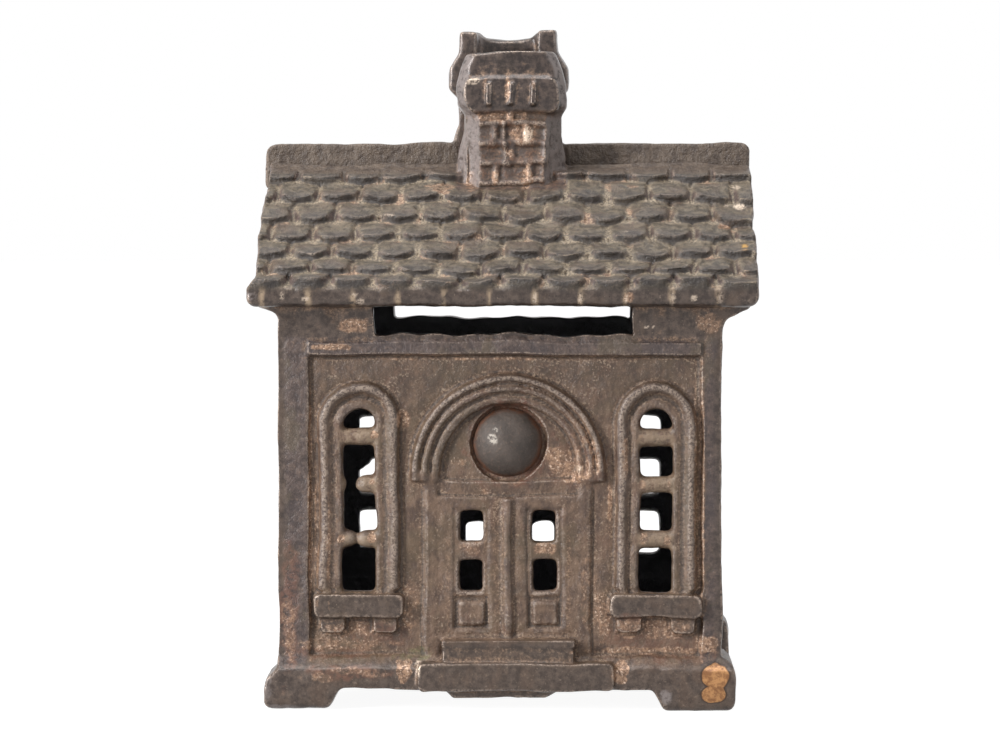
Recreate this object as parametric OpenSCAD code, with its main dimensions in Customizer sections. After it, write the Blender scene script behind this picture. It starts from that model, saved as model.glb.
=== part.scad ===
// Cast iron house bank: two castings that meet at the middle of the depth, and one through bolt.
// X runs along the front, Y from front to back, Z up. The origin is on the ground under the middle.

/* [Walls] */
// Width over the side walls
wall_w = 59.2; // [56:0.2:64]
// Depth over the front and back walls
wall_d = 50; // [46:1:58]
// Thickness of the cast walls and floor
wall_t = 2.4; // [2:0.1:3]
// Height of the floor's underside above the ground
floor_z = 2.8; // [2:0.1:3.4]
// Height of the eave's underside above the ground
eave_z = 53.9; // [53:0.1:57]
// Width of the plain pilaster at each corner
pilaster_w = 3.4; // [2.6:0.1:4]
// Distance of the sunk wall panel's top edge below the eave
panel_drop = 6.6; // [6:0.1:7.2]
// Depth of the sunk wall panel
panel_sink = 0.5; // [0.3:0.1:0.8]
// How far the walls lie to the right of the roof's middle
wall_x = -0.3; // [-0.6:0.1:0.6]
// How far the sunk panel lies to the right of the roof's middle
panel_mid = 0.4; // [0:0.1:0.5]
// How far the bolt and the front casting's openings lie to the right of the roof's middle
middle_x = 0.7; // [0:0.1:1]
// How far the back casting's openings lie to the right of the roof's middle
back_middle_x = 0.1; // [-0.3:0.1:0.8]
// How much higher the openings lie in the back casting
back_rise = 0.7; // [0:0.1:0.8]
// Gap between the two castings at the seam
seam_gap = 0.2; // [0.1:0.05:0.4]

/* [Roof] */
// How far the eave stands out in front of the wall
eave_over = 4.1; // [3.9:0.1:6]
// How far the roof stands out past each side wall
side_over = 4.4; // [3:0.1:6]
// Height of the eave's front edge
eave_h = 2.2; // [1.8:0.1:3]
// How far the left verge lies inside the eave's end
verge_inset = 1.1; // [0:0.1:1.4]
// How far the soffit hangs below the eave at the left side wall
soffit_drop = 0.8; // [0.4:0.1:1.4]
// How much further it hangs down at the right side wall
soffit_tilt = 0.8; // [0:0.1:1]
// Rise of the front casting's ridge above the eave's underside
ridge_rise = 19.1; // [17:0.5:21]
// Thickness of the roof
roof_t = 2.4; // [2:0.1:3]
// Rise of the back casting's ridge roll above the front casting's ridge
ridge_roll_rise = 2.7; // [1:0.1:3]
// Thickness of the ridge roll
ridge_roll_t = 3.2; // [2:0.1:4]

/* [Shingles] */
// Number of shingles across the roof
shingle_cols = 12; // [8:1:16]
// Number of courses above the eave course
shingle_rows = 6; // [4:1:8]
// Distance down the slope from the ridge to the first course's lower edge
first_course = 5.9; // [4:0.1:8]
// Length of the eave course down the slope
eave_course = 2.9; // [2:0.1:4]
// How much shorter each course shows than the one above it
course_shrink = 0.4; // [0:0.05:0.5]
// Thickness of a shingle at its lower edge
shingle_t = 1.3; // [0.6:0.1:1.5]
// Gap between neighbouring shingles
shingle_gap = 0.6; // [0.3:0.05:0.8]
// Height of the curve at a shingle's lower edge
shingle_curve = 1.5; // [0.6:0.1:1.8]

/* [Chimney] */
// How far the front casting's chimney lies to the right of the roof's middle
chimney_x = 0.9; // [0:0.1:1.2]
// How far the back casting's chimney lies to the left of the front one's
chimney_step = 0.5; // [0:0.1:0.8]
// Width of the chimney shaft at the seam
shaft_w = 13.1; // [12:0.1:15]
// Depth of half the shaft, from the seam to its face
shaft_d = 6.6; // [6:0.1:8]
// Width of the slanted corners of the shaft
shaft_corner = 1.9; // [1:0.1:2.4]
// How much wider the shaft is on each side where it meets the ridge
shaft_flare = 1.1; // [0:0.1:1.6]
// Thickness of the chimney's walls
flue_wall = 2.4; // [2:0.1:2.8]
// Rise of the cap's lower edge above the ridge
cap_rise = 6.9; // [6:0.1:8]
// Height of the cap's swelling
cap_h = 5; // [4:0.1:5.6]
// How far the cap stands out from the shaft
cap_out = 0.9; // [0.5:0.1:1.4]
// Rise of the front casting's chimney rim above the ridge
rim_rise = 15.3; // [14.5:0.1:17]
// Extra height of the rim on the back casting
back_rim_rise = 3.2; // [1.2:0.1:3.6]
// Depth of the dip in the back rim between its corner posts
rim_dip = 0.9; // [0.3:0.1:1.4]
// Extra size of the back casting's chimney all round
back_grow = 0.4; // [0.2:0.1:0.8]
// Height of one brick course with its joint
brick_h = 2.65; // [2:0.05:3.4]
// Length of one brick with its joint
brick_l = 4.6; // [3.6:0.1:5.4]

/* [Base] */
// How far the base stands out from the walls
base_out = 1.9; // [1.4:0.1:2.4]
// Height of the base's top edge above the ground
base_z = 7; // [6.8:0.1:7.6]
// Rounding of the base's lower edge
base_r = 1.2; // [0.4:0.1:1.3]
// Height of the base's sloping shoulder
base_shoulder = 3.2; // [2.4:0.1:3.6]
// How much lower the shoulder is at the left end than at the right one
base_tilt = 1.9; // [0:0.1:2]
// How much further the ends of the base stand out on the back casting
back_base_out = 0.8; // [0:0.1:1]
// Width of a foot at the ground
foot_w = 9.1; // [6:0.1:11]
// How much narrower the left foot is
foot_diff = 0.9; // [0:0.1:1.2]
// Extra width of a foot at the floor
foot_spread = 2.4; // [1:0.1:3]
// How far the stub of the casting's gate hangs below the floor
gate_drop = 1.4; // [0.4:0.1:1.8]
// Width of that stub at the floor
gate_w = 16.5; // [10:0.5:20]

/* [Windows] */
// Distance of a window's middle from the middle of the house
window_x = 19.8; // [19.2:0.1:20.2]
// Width of the window opening
window_w = 4.4; // [3.6:0.1:4.8]
// Height of the opening's lower edge above the ground
window_z = 15.6; // [14.5:0.1:17]
// Height of the opening's crown above the ground
window_top = 40.1; // [39:0.1:41.2]
// Width of the outer roll round a window
window_roll_w = 1.5; // [1:0.1:1.7]
// Width of the inner roll round a window
window_lining_w = 1.2; // [0.8:0.1:1.4]
// Heights of the three bars above the ground, from the lowest
bar_zs = [22.6, 30.1, 36.4];
// Diameter of a window bar in the front casting
bar_d = 2.4; // [1.6:0.1:2.7]
// Diameter of a window bar in the back casting
back_bar_d = 2.7; // [1.8:0.1:2.9]
// How much higher the bars lie in the back casting
back_bar_rise = 1.1; // [0:0.1:1.4]
// Width of a window sill
sill_w = 12.1; // [11.6:0.1:12.8]
// Height of a window sill
sill_h = 3; // [2:0.1:3.6]
// How far a sill stands out from the wall panel
sill_out = 1.7; // [1:0.1:2.4]
// Distance between the middles of the two brackets under a sill
bracket_pitch = 7.1; // [5.5:0.1:8.5]

/* [Door] */
// Height of the arch's centre above the ground
arch_z = 31.9; // [31:0.1:33]
// Outer radius of the arch over the door
arch_r = 13; // [12.4:0.1:13.2]
// Width of each of the three rolls of the arch
arch_roll_w = 1.3; // [1:0.1:1.4]
// Width over both door leaves
door_w = 19; // [17:0.2:19.4]
// Height of the leaves' lower edge above the ground
door_z = 9.4; // [9:0.1:10]
// Height of the leaves' upper edge above the ground
door_top = 28.3; // [27.8:0.1:28.8]
// Distance of a pane's middle from the middle of the door
pane_x = 4.9; // [4.6:0.1:5.2]
// Width of a pane
pane_w = 3.1; // [2.4:0.1:3.4]
// Height of a pane
pane_h = 4.2; // [3:0.1:4.6]
// Height of the lower pane's lower edge above the ground
pane_z = 15.8; // [15:0.1:16.5]
// Height of the bar between the panes
pane_bar = 2.3; // [1.6:0.1:3]
// Width of the upper step
upper_step_w = 17.5; // [16:0.1:20]
// How far the upper step lies to the right of the door's middle
upper_step_x = 0.2; // [0:0.1:0.6]
// Width of the lower step
lower_step_w = 26.2; // [24:0.2:30]
// How far the lower step lies to the right of the door's middle
lower_step_x = 1.2; // [0:0.1:1.6]
// How far the upper step stands out from the wall
upper_step_out = 2.3; // [2:0.1:3]
// How far the lower step stands out from the wall
lower_step_out = 2.9; // [2.4:0.1:3.6]

/* [Coin slot] */
// How far the slot lies to the right of the roof's middle
slot_x = 0.2; // [-0.4:0.1:0.6]
// Width of the slot
slot_w = 34.4; // [32:0.2:38]
// Height of the slot, up to the eave's underside
slot_h = 4.2; // [4.1:0.05:4.8]

/* [Tie bolt] */
// Diameter of the bolt
bolt_d = 4.76; // [4:0.02:5]
// Height of the bolt's axis above the ground
bolt_z = 35.6; // [35:0.1:35.8]
// Diameter of the domed head
head_d = 9.4; // [8:0.1:9.6]
// Height of the domed head
head_h = 3; // [2.2:0.1:3.4]
// Length of the bolt past the nut
bolt_end = 1.3; // [0.8:0.1:1.6]
// Width of the nut across its flats
nut_w = 9.5; // [8.4:0.1:9.6]
// Height of the nut
nut_h = 3.2; // [2.6:0.1:3.4]
// Diameter of the washer
washer_d = 11; // [9.5:0.1:12]
// Thickness of the washer
washer_t = 0.8; // [0.6:0.1:1]
// Clearance between the thread and the nut on each side
thread_clear = 0.05; // [0.03:0.01:0.1]
// Clearance of the bolt in the castings and the washer on each side
hole_clear = 0.25; // [0.15:0.05:0.4]

/* [Hidden] */
$fn = 48;

iron = "#5a4e44";
dark_iron = "#4a433d";
steel = "#6b6158";

half_w = wall_w / 2;
half_d = wall_d / 2;
half_gap = seam_gap / 2;
inner_x = half_w - wall_t;
inner_y = half_d - wall_t;
floor_top = floor_z + wall_t;
panel_x = half_w - pilaster_w;
panel_top = eave_z - panel_drop;
fascia_h = 1.5; // height of the thin band above the panel
sink = 0.4; // how deep applied relief is rooted in the wall behind it
past = 1; // how far a cut runs past the surface that it opens

roof_x = half_w + side_over;
eave_y = half_d + eave_over;
eave_top = eave_z + eave_h;
ridge_z = eave_z + ridge_rise;
slope = atan((ridge_z - eave_top) / eave_y);
slope_len = eave_y / cos(slope);
roof_rise = roof_t / cos(slope);
eave_r = 1.2; // rounding of the eave's lower edge
eave_end_r = 1.5; // rounding of the eave's ends seen from the front
verge_x = roof_x - verge_inset;
ridge_roll_r = 1.3; // rounding of the ridge roll's upper corners
ridge_roll_x = 0.3; // how far the ridge roll lies to the right

shown_len = slope_len - eave_course - first_course;
course_0 = shown_len / (shingle_rows - 1) + course_shrink * (shingle_rows - 2) / 2;
shingle_w = 2 * roof_x / shingle_cols;
course_lap = 1.2; // how far a course runs up under the one above it
course_root = 0.3; // how deep a course's upper edge lies in the roof

cap_z = ridge_z + cap_rise;
rim_z = ridge_z + rim_rise;
flue_x = shaft_w / 2 - flue_wall;
flue_y = shaft_d - flue_wall;
joint_w = 0.55; // width of the raised joints of the brickwork
joint_t = 0.3; // how far those joints stand out
flare_h = 3.5; // height over which the shaft's foot narrows
cap_brick = 3; // width of the upright bricks of the cap
cap_corner = 1.2; // width of the cap's slanted corners

// Bow of the base's shoulder: how far its points lie in, and their depth as a share of its height
shoulder_bow = [[0, 1], [0.15, 0.8], [0.45, 0.5]];
step_top = base_z - 0.6; // upper face of the lower step
step_root = 0.1; // how far the lower step hangs below the floor

// Values of the front casting and of the back one, where they differ
trim_at = [[middle_x, 0, 0], [back_middle_x, 0, back_rise]];
chimney_at = [chimney_x, chimney_x - chimney_step];
chimney_grow = [0, back_grow];
chimney_rise = [0, back_rim_rise];
cap_low = [cap_z, cap_z + 0.75 * back_rim_rise];
cap_reach = [cap_out, cap_out + 0.5];
knee_out = [0.35, -0.05]; // how far the chimney stands out above its cap
rim_in = [0.5, 0.1]; // how far the rim is drawn in
slot_at = [slot_x, slot_x + 0.3];

window_r = window_w / 2;
lining_r = window_r + window_lining_w;
sill_top = window_z - 0.2;
sill_r = 0.7; // rounding of the sills' and steps' corners

arch_inner_r = arch_r - 3 * arch_roll_w;
arch_leg = 1.4; // straight foot of the arch's rolls below its centre
fan_sink = 0.3; // depth of the fanlight below the wall panel
fan_y = half_d - panel_sink - fan_sink;
frame_x = door_w / 2 + 0.8; // distance of the door frame's middle from the door's
frame_w = 1.4; // width of the door frame's jambs
stile_w = 0.9; // width of a leaf's edge beside its panes
leaf_out = 0.3; // how far the leaves' rails stand out
leaf_in = 0.5; // distance of a leaf's inner edge from the door's middle
leaf_w = door_w / 2 - leaf_in - 0.2;
rail_h = 1.2; // height of a leaf's top and bottom rails
pane_rim = 0.5; // width of the flat rim round the panes
panel_low = door_z + 1.9; // lower edge of the door's lower panels
panel_high = pane_z - 1.6; // their upper edge

head_seat = fan_y - 0.7;
seat_floor = head_seat - wall_t;
nut_pocket_r = nut_w / sqrt(2) + 0.3;
pocket_r = [head_d / 2 + 0.45, nut_pocket_r];
boss_r = nut_pocket_r + 1;
neck_w = bolt_d;

function arc(cx, cy, r, from, to, n) =
    [for (i = [0:n]) let (a = from + (to - from) * i / n) [cx + r * cos(a), cy + r * sin(a)]];

// Lower edge of course i, measured down the slope from the ridge
function course_edge(i) = first_course + i * course_0 - course_shrink * i * (i - 1) / 2;

// Outline of an opening with a round head, centred on x
function round_head(x, r, low, high) =
    concat([[x - r, low], [x + r, low]], arc(x, high - r, r, 0, 180, 16));

// Outline of a plate with rounded corners
function rounded_plate(x_from, x_to, z_from, z_to, r) = concat(
    arc(x_to - r, z_to - r, r, 0, 90, 3),
    arc(x_from + r, z_to - r, r, 90, 180, 3),
    arc(x_from + r, z_from + r, r, 180, 270, 3),
    arc(x_to - r, z_from + r, r, 270, 360, 3)
);

// A drawing in front elevation, from one depth to another in front of the wall's face
module on_wall(back, front) {
    translate([0, -half_d - back, 0])
        rotate([90, 0, 0])
            linear_extrude(front - back)
                children();
}

// A drawing in front elevation, cut right through the front wall
module through_wall() {
    on_wall(-wall_t - past - sink, lower_step_out)
        children();
}

// A drawing in side elevation, as wide as given and centred
module across(width) {
    translate([-width / 2, 0, 0])
        rotate([90, 0, 90])
            linear_extrude(width)
                children();
}

// Half-round moulding section on the line x = 0, rooted below its foot
function roll_section(width, height) = concat(
    [[width / 2, -sink], [-width / 2, -sink]],
    [for (a = [180:-30:0]) [width / 2 * cos(a), height * sin(a)]]
);

// Half-round moulding over an arch and down its legs, drawn flat in the XY plane
module arch_roll(r, width, height, leg) {
    rotate_extrude(angle = 180)
        translate([r, 0])
            polygon(roll_section(width, height));
    for (side = [-1, 1])
        translate([side * r, 0, 0])
            rotate([90, 0, 0])
                linear_extrude(leg)
                    polygon(roll_section(width, height));
}

// The same moulding upright on the sunk wall panel
module wall_arch(x, z, r, width, height, leg) {
    translate([x, -half_d + panel_sink, z])
        rotate([90, 0, 0])
            arch_roll(r, width, height, leg);
}

module box_on_wall(x_from, x_to, z_from, z_to, back, front) {
    translate([x_from, -half_d - front, z_from])
        cube([x_to - x_from, front - back, z_to - z_from]);
}

// Walls and floor as a solid block up to the eave, run past the seam
module wall_block() {
    translate([-half_w, -half_d, floor_z])
        cube([wall_w, half_d + past, eave_z - floor_z + sink]);
}

// Roof and gable as a solid prism, with the eave's lower edge rounded
module roof_block() {
    across(2 * (roof_x + past))
        polygon(concat(
            arc(-eave_y + eave_r, eave_z + eave_r, eave_r, 180, 270, 4),
            [[past, eave_z], [past, ridge_z], [0, ridge_z], [-eave_y, eave_top]]
        ));
}

// Outline of the roof seen from the front, which trims its ends
module roof_ends() {
    translate([0, past, 0])
        rotate([90, 0, 0])
            linear_extrude(eave_y + 3 * past)
                polygon(concat(
                    arc(eave_end_r - roof_x, eave_z + eave_end_r, eave_end_r, 270, 180, 5),
                    [[-roof_x, eave_top + 0.4], [-verge_x, eave_top + 1.6]],
                    [[-verge_x, ridge_z + 2 * past], [roof_x, ridge_z + 2 * past]],
                    arc(roof_x - eave_end_r, eave_z + eave_end_r, eave_end_r, 0, -90, 5)
                ));
}

// Soffit that slopes from the eave's end down to the side wall, with a hollow fillet against it
module soffits() {
    reach = side_over - eave_end_r * 0.6;
    fillet_w = 1.1;
    fillet_h = 1.8;
    for (side = [0, 1]) {
        tilt = side == 0 ? soffit_tilt : 0;
        low = eave_z - soffit_drop - tilt;
        mirror([side, 0, 0])
            translate([0, past, 0])
                rotate([90, 0, 0])
                    linear_extrude(half_d + past)
                        polygon(concat(
                            [[half_w - sink, eave_z + sink], [half_w - sink, low - fillet_h]],
                            [for (a = [0:15:75]) [
                                half_w + fillet_w * (1 - cos(a)), low - fillet_h * (1 - sin(a))
                            ]],
                            [[half_w + reach, eave_z + 0.1 - 0.75 * tilt]],
                            [[half_w + reach + 0.1, eave_z + sink]]
                        ));
    }
}

// Section of the base, rounded at its foot and shoulder, with x measured out from the wall's face
function base_section(out, top) = concat(
    [[-foot_w, 0]],
    arc(out - base_r, base_r, base_r, 270, 360, 4),
    [for (p = shoulder_bow) [out - p[0], top - p[1] * base_shoulder]],
    [[0.55, top - base_shoulder / 4], [0.1, top], [-foot_w, top]]
);

// Outline of one end of the base, seen from the front, from the ground to its top edge
function base_end(out, top) = concat(
    [for (p = base_section(out, top)) if (p[0] > -foot_w) [half_w + p[0], p[1]]],
    [[half_w + 0.1, top + past]]
);

// Curve from the ground up to the floor beside a foot whose inner edge is at x
function foot_edge(x) = [for (t = [0:0.2:1]) [x - foot_spread * t, floor_z * (1 - cos(180 * t)) / 2]];

function reversed(points) = [for (i = [len(points) - 1:-1:0]) points[i]];

// Base along the front, with a foot at each corner that wraps round onto the side wall
module base(end_out, top) {
    foot_x = half_w + base_out - foot_w;
    shoulder = top + base_shoulder / 4;
    intersection() {
        across(2 * (half_w + end_out + past))
            polygon([for (p = base_section(base_out, top)) [-half_d - p[0], p[1]]]);
        // Outline seen from the front
        translate([0, -half_d + foot_w, 0])
            rotate([90, 0, 0])
                linear_extrude(foot_w + base_out + past)
                    polygon(concat(
                        base_end(end_out, shoulder),
                        [for (p = reversed(base_end(end_out, shoulder - base_tilt))) [-p[0], p[1]]],
                        [for (p = foot_edge(foot_x + foot_diff)) [-p[0], p[1]]],
                        reversed(foot_edge(foot_x))
                    ));
    }
}

// Two steps in front of the door, the upper one with a nosing along its top edge
module steps() {
    upper_x = upper_step_w / 2;
    lower_x = lower_step_w / 2;
    roots = -wall_t + sink;
    nosing = 0.2; // how far the nosing stands out
    nosing_h = 0.9;
    translate([upper_step_x, 0, 0]) {
        box_on_wall(
            -upper_x, upper_x, step_top - sink, door_z - nosing_h / 2,
            roots, upper_step_out - nosing
        );
        on_wall(roots, upper_step_out)
            polygon(rounded_plate(
                -upper_x - nosing, upper_x + nosing, door_z - nosing_h, door_z, nosing_h / 3
            ));
    }
    translate([lower_step_x, 0, 0])
        on_wall(roots, lower_step_out)
            polygon(rounded_plate(-lower_x, lower_x, floor_z - step_root, step_top, sill_r));
}

// Stub of the casting's gate under the middle of the base
module gate_stub() {
    low = floor_z - gate_drop;
    root = floor_z + sink;
    translate([-gate_w / 2, 0, 0])
        on_wall(-base_out, base_out - base_r)
            polygon([[0, root], [gate_w * 0.1, low], [gate_w * 0.85, low + 0.3], [gate_w, root]]);
}

// Courses of shingles on the slope
module shingles() {
    translate([0, 0, ridge_z])
        rotate([slope, 0, 0])
            for (i = [0:shingle_rows])
                shingle_course(i);
}

module shingle_course(i) {
    low = i < shingle_rows ? course_edge(i) : slope_len - 0.2;
    high = i == 0 ? first_course - course_0 + course_lap : course_edge(i - 1) - course_lap;
    gap_top = high + course_lap * 0.6;
    // Every second course starts half a shingle further to the left
    first = -shingle_cols / 2 - i % 2 / 2;
    last = shingle_cols - 1 + i % 2;
    tilt = asin(shingle_t / (low - high));
    translate([0, -high, 0])
        rotate([-tilt, 0, 0])
            translate([0, high, -shingle_t - course_root])
                linear_extrude(shingle_t + course_root)
                    polygon(concat(
                        [[roof_x + past, -high], [-roof_x - past, -high]],
                        [for (k = [0:last]) each shingle_edge(
                            k == 0 ? -roof_x - past : (first + k) * shingle_w + shingle_gap / 2,
                            k == last ? roof_x + past : (first + k + 1) * shingle_w - shingle_gap / 2,
                            -gap_top, -low
                        )]
                    ));
}

// Lower edge of one shingle, from its left side to its right side
function shingle_edge(from, to, top, low) = let (mid = (from + to) / 2, reach = (to - from) / 2) concat(
    from > -roof_x ? [[from, top]] : [],
    [for (a = [-90:22.5:90]) let (u = abs(sin(a))) [
        mid + reach * sin(a), low + shingle_curve * (1 - sqrt(1 - u * u * u))
    ]],
    to < roof_x ? [[to, top]] : []
);

// One plan slice of a chimney half, from the seam to its face, with slanted corners
module chimney_slice(z, half_width, depth, corner) {
    translate([0, 0, z])
        linear_extrude(0.01)
            polygon([
                [-half_width, past], [-half_width, corner - depth], [corner - half_width, -depth],
                [half_width - corner, -depth], [half_width, corner - depth], [half_width, past]
            ]);
}

// Heights at which a chimney half changes, each with the extra half width there and the corner's width
function chimney_levels(back) = let (
    root_z = ridge_z - shaft_d * tan(slope) - 3,
    flare_z = ridge_z + 0.5 + 0.4 * chimney_rise[back],
    low = cap_low[back],
    top = low + cap_h,
    out = cap_reach[back]
) [
    [root_z, shaft_flare, shaft_corner + shaft_flare],
    [flare_z, shaft_flare, shaft_corner + shaft_flare],
    [flare_z + flare_h, 0, shaft_corner],
    [low - 0.2, 0, shaft_corner],
    [low + 0.9, out, cap_corner],
    [top - cap_corner, out, cap_corner],
    [top + cap_corner, knee_out[back], cap_corner],
    [rim_z + chimney_rise[back], -rim_in[back], cap_corner]
];

// Solid chimney half, with the swelling of its cap on the sides and a pillow on the cap's face
module chimney(back) {
    half_width = shaft_w / 2 + chimney_grow[back];
    depth = shaft_d + chimney_grow[back];
    levels = chimney_levels(back);
    for (i = [0:len(levels) - 2])
        hull() {
            chimney_slice(levels[i][0], half_width + levels[i][1], depth, levels[i][2]);
            chimney_slice(levels[i + 1][0] - 0.01, half_width + levels[i + 1][1], depth, levels[i + 1][2]);
        }
    pillow(half_width + cap_reach[back] - 1, depth, cap_low[back], cap_reach[back]);
}

// Rounded bulge across the cap's face, with upright joints on it
module pillow(half_width, depth, low, out) {
    middle_z = low + cap_h / 2;
    intersection() {
        across(2 * half_width)
            polygon(concat(
                [[-depth + sink, low], [-depth + sink, low + cap_h]],
                [for (a = [0:20:180]) [-depth - out * sqrt(sin(a)), middle_z + cap_h / 2 * cos(a)]]
            ));
        // Outline seen from the front
        rotate([90, 0, 0])
            linear_extrude(depth + out + past)
                polygon(rounded_plate(-half_width, half_width, low, low + cap_h, 1.6));
    }
    for (x = [-1:1])
        translate([x * cap_brick - joint_w / 2, -depth - out - joint_t, low + 1])
            cube([joint_w, joint_t + sink, cap_h - 2]);
}

// Raised joints of the brickwork on the chimney's face
module brick_joints(back) {
    face_w = shaft_w + 2 * chimney_grow[back] - 2 * shaft_corner;
    face_y = shaft_d + chimney_grow[back];
    first_z = cap_low[back] - 0.65 * brick_h;
    courses = floor((first_z - (ridge_z - shaft_d * tan(slope))) / brick_h) + 1;
    for (k = [0:courses - 1]) {
        z = first_z - k * brick_h;
        translate([-face_w / 2, -face_y - joint_t, z])
            cube([face_w, joint_t + sink, joint_w]);
        for (x = k % 2 == 0 ? [0] : [-brick_l / 2, brick_l / 2])
            translate([x - joint_w / 2, -face_y - joint_t, z + joint_w / 2])
                cube([joint_w, joint_t + sink, brick_h]);
    }
}

// Ridge roll that stands up behind the seam on the back casting
module ridge_roll() {
    r = ridge_roll_r;
    end_x = roof_x - ridge_roll_x;
    top = ridge_z + ridge_roll_rise;
    translate([ridge_roll_x, past, 0])
        rotate([90, 0, 0])
            linear_extrude(ridge_roll_t + past)
                polygon(concat(
                    [[-end_x, ridge_z - roof_t - 1], [end_x, ridge_z - roof_t - 1]],
                    arc(end_x - r, top - r, r, 0, 90, 4),
                    arc(r - end_x, top - r, r, 90, 180, 4)
                ));
}

// Rolls, sill and brackets of one window
module window_trim(x) {
    spring_z = window_top - window_r;
    leg = spring_z - sill_top + 0.2;
    sill_low = sill_top - sill_h;
    bracket_w = 3.2;
    bracket_h = 2.1;
    crown_gap = 0.4; // how much higher the outer roll's crown lies
    lap = 0.2; // how far the inner roll runs under the outer one and past the opening's edge
    roll_out = 0.95;
    lining_out = 0.55;
    wall_arch(
        x, spring_z + crown_gap, lining_r + window_roll_w / 2, window_roll_w, roll_out,
        leg + crown_gap
    );
    wall_arch(x, spring_z, window_r + window_lining_w / 2, window_lining_w + 2 * lap, lining_out, leg);
    on_wall(-panel_sink - sink, sill_out - panel_sink)
        polygon(rounded_plate(x - sill_w / 2, x + sill_w / 2, sill_low, sill_top, sill_r));
    for (side = [-1, 1])
        translate([x + side * bracket_pitch / 2, 0, 0])
            on_wall(-panel_sink - sink, sill_out - panel_sink - 0.6)
                polygon(rounded_plate(
                    -bracket_w / 2, bracket_w / 2, sill_low - bracket_h, sill_low + sill_r, 0.6
                ));
}

// One round bar across a window, rooted in the wall on both sides
module window_bar(x, z, d) {
    bar_x = window_r + d / 2;
    translate([x - bar_x, -half_d + wall_t / 2, z])
        rotate([0, 90, 0])
            cylinder(h = 2 * bar_x, d = d);
}

// The two stubs of a broken bar, with the gap between them given from the window's middle
module broken_bar(x, z, gap_from, gap_to) {
    bar_r = bar_d / 2;
    bar_x = window_r + bar_r;
    for (stub = [[-bar_x, gap_from - bar_r, gap_from - bar_r], [gap_to + bar_r, bar_x, gap_to + bar_r]])
        translate([x + stub[0], -half_d + wall_t / 2, z])
            rotate([0, 90, 0]) {
                cylinder(h = stub[1] - stub[0], r = bar_r);
                translate([0, 0, stub[2] - stub[0]])
                    sphere(r = bar_r);
            }
}

// Rolls of the arch, door frame and door leaves
module door_trim() {
    roots = -panel_sink - sink;
    // Heights of the rolls, from the outer one, each of which runs a little under the one outside it
    roll_out = [1.15, 1.05, 0.75];
    for (i = [0:2]) {
        r = arch_r - (i + 0.5) * arch_roll_w;
        wall_arch(0, arch_z, r, arch_roll_w + 0.1 * i, roll_out[i], arch_leg);
    }
    for (side = [-1, 1]) {
        x = side * pane_x;
        // Jamb from the arch down to the base
        box_on_wall(
            side * frame_x - frame_w / 2, side * frame_x + frame_w / 2,
            step_top - sink, arch_z - arch_leg, roots, leaf_out + 0.05 - panel_sink
        );
        // Stiles and rails of a leaf, round its sunk middle
        on_wall(roots, leaf_out - panel_sink)
            difference() {
                translate([side * (leaf_in + leaf_w / 2) - leaf_w / 2, door_z])
                    square([leaf_w, door_top - door_z]);
                translate([x - pane_w / 2 - stile_w, door_z + rail_h])
                    square([pane_w + 2 * stile_w, door_top - door_z - 2 * rail_h]);
            }
        // Lower panel of a leaf
        box_on_wall(x - pane_w / 2, x + pane_w / 2, panel_low, panel_high, roots, leaf_out - panel_sink);
        // Rim round its panes
        box_on_wall(
            x - pane_w / 2 - pane_rim, x + pane_w / 2 + pane_rim,
            pane_z - pane_rim, pane_z + 2 * pane_h + pane_bar + pane_rim,
            roots, leaf_out / 2 - panel_sink
        );
    }
    // Astragal between the leaves
    translate([0, -half_d + panel_sink, door_z])
        cylinder(h = door_top - door_z, r = 0.8, $fn = 16);
}

// Openings of the door: two panes in each leaf
module pane_cuts() {
    through_wall()
        for (side = [-1, 1], row = [0, 1])
            translate([side * pane_x - pane_w / 2, pane_z + row * (pane_h + pane_bar)])
                square([pane_w, pane_h]);
}

// Hollow of one casting: room and roof space
module hollow() {
    under = ridge_z - roof_rise;
    room_top = eave_z + 0.6;
    loft_low = eave_top + 1;
    left = wall_x - inner_x;
    right = wall_x + inner_x;
    intersection() {
        across(2 * roof_x)
            polygon([
                [-inner_y, floor_top], [past, floor_top], [past, under],
                [0, under], [-inner_y, under - inner_y * tan(slope)]
            ]);
        translate([0, past, 0])
            rotate([90, 0, 0])
                linear_extrude(half_d + past)
                    polygon([
                        [left, floor_top], [right, floor_top], [right, room_top],
                        [roof_x - wall_t, loft_low], [roof_x - wall_t, ridge_z],
                        [wall_t - verge_x, ridge_z], [wall_t - verge_x, loft_low], [left, room_top]
                    ]);
    }
}

// Flue from the roof space up through the rim
module flue() {
    low = ridge_z - shaft_d;
    translate([-flue_x, -flue_y, low])
        cube([2 * flue_x, flue_y + past, rim_z + back_rim_rise + past - low]);
}

// Coin slot, which runs up to the eave
module coin_slot(back) {
    translate([slot_at[back] - slot_w / 2, -half_d - past, eave_z - slot_h + back * back_rise])
        cube([slot_w, wall_t + 2 * past, slot_h]);
}

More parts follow.
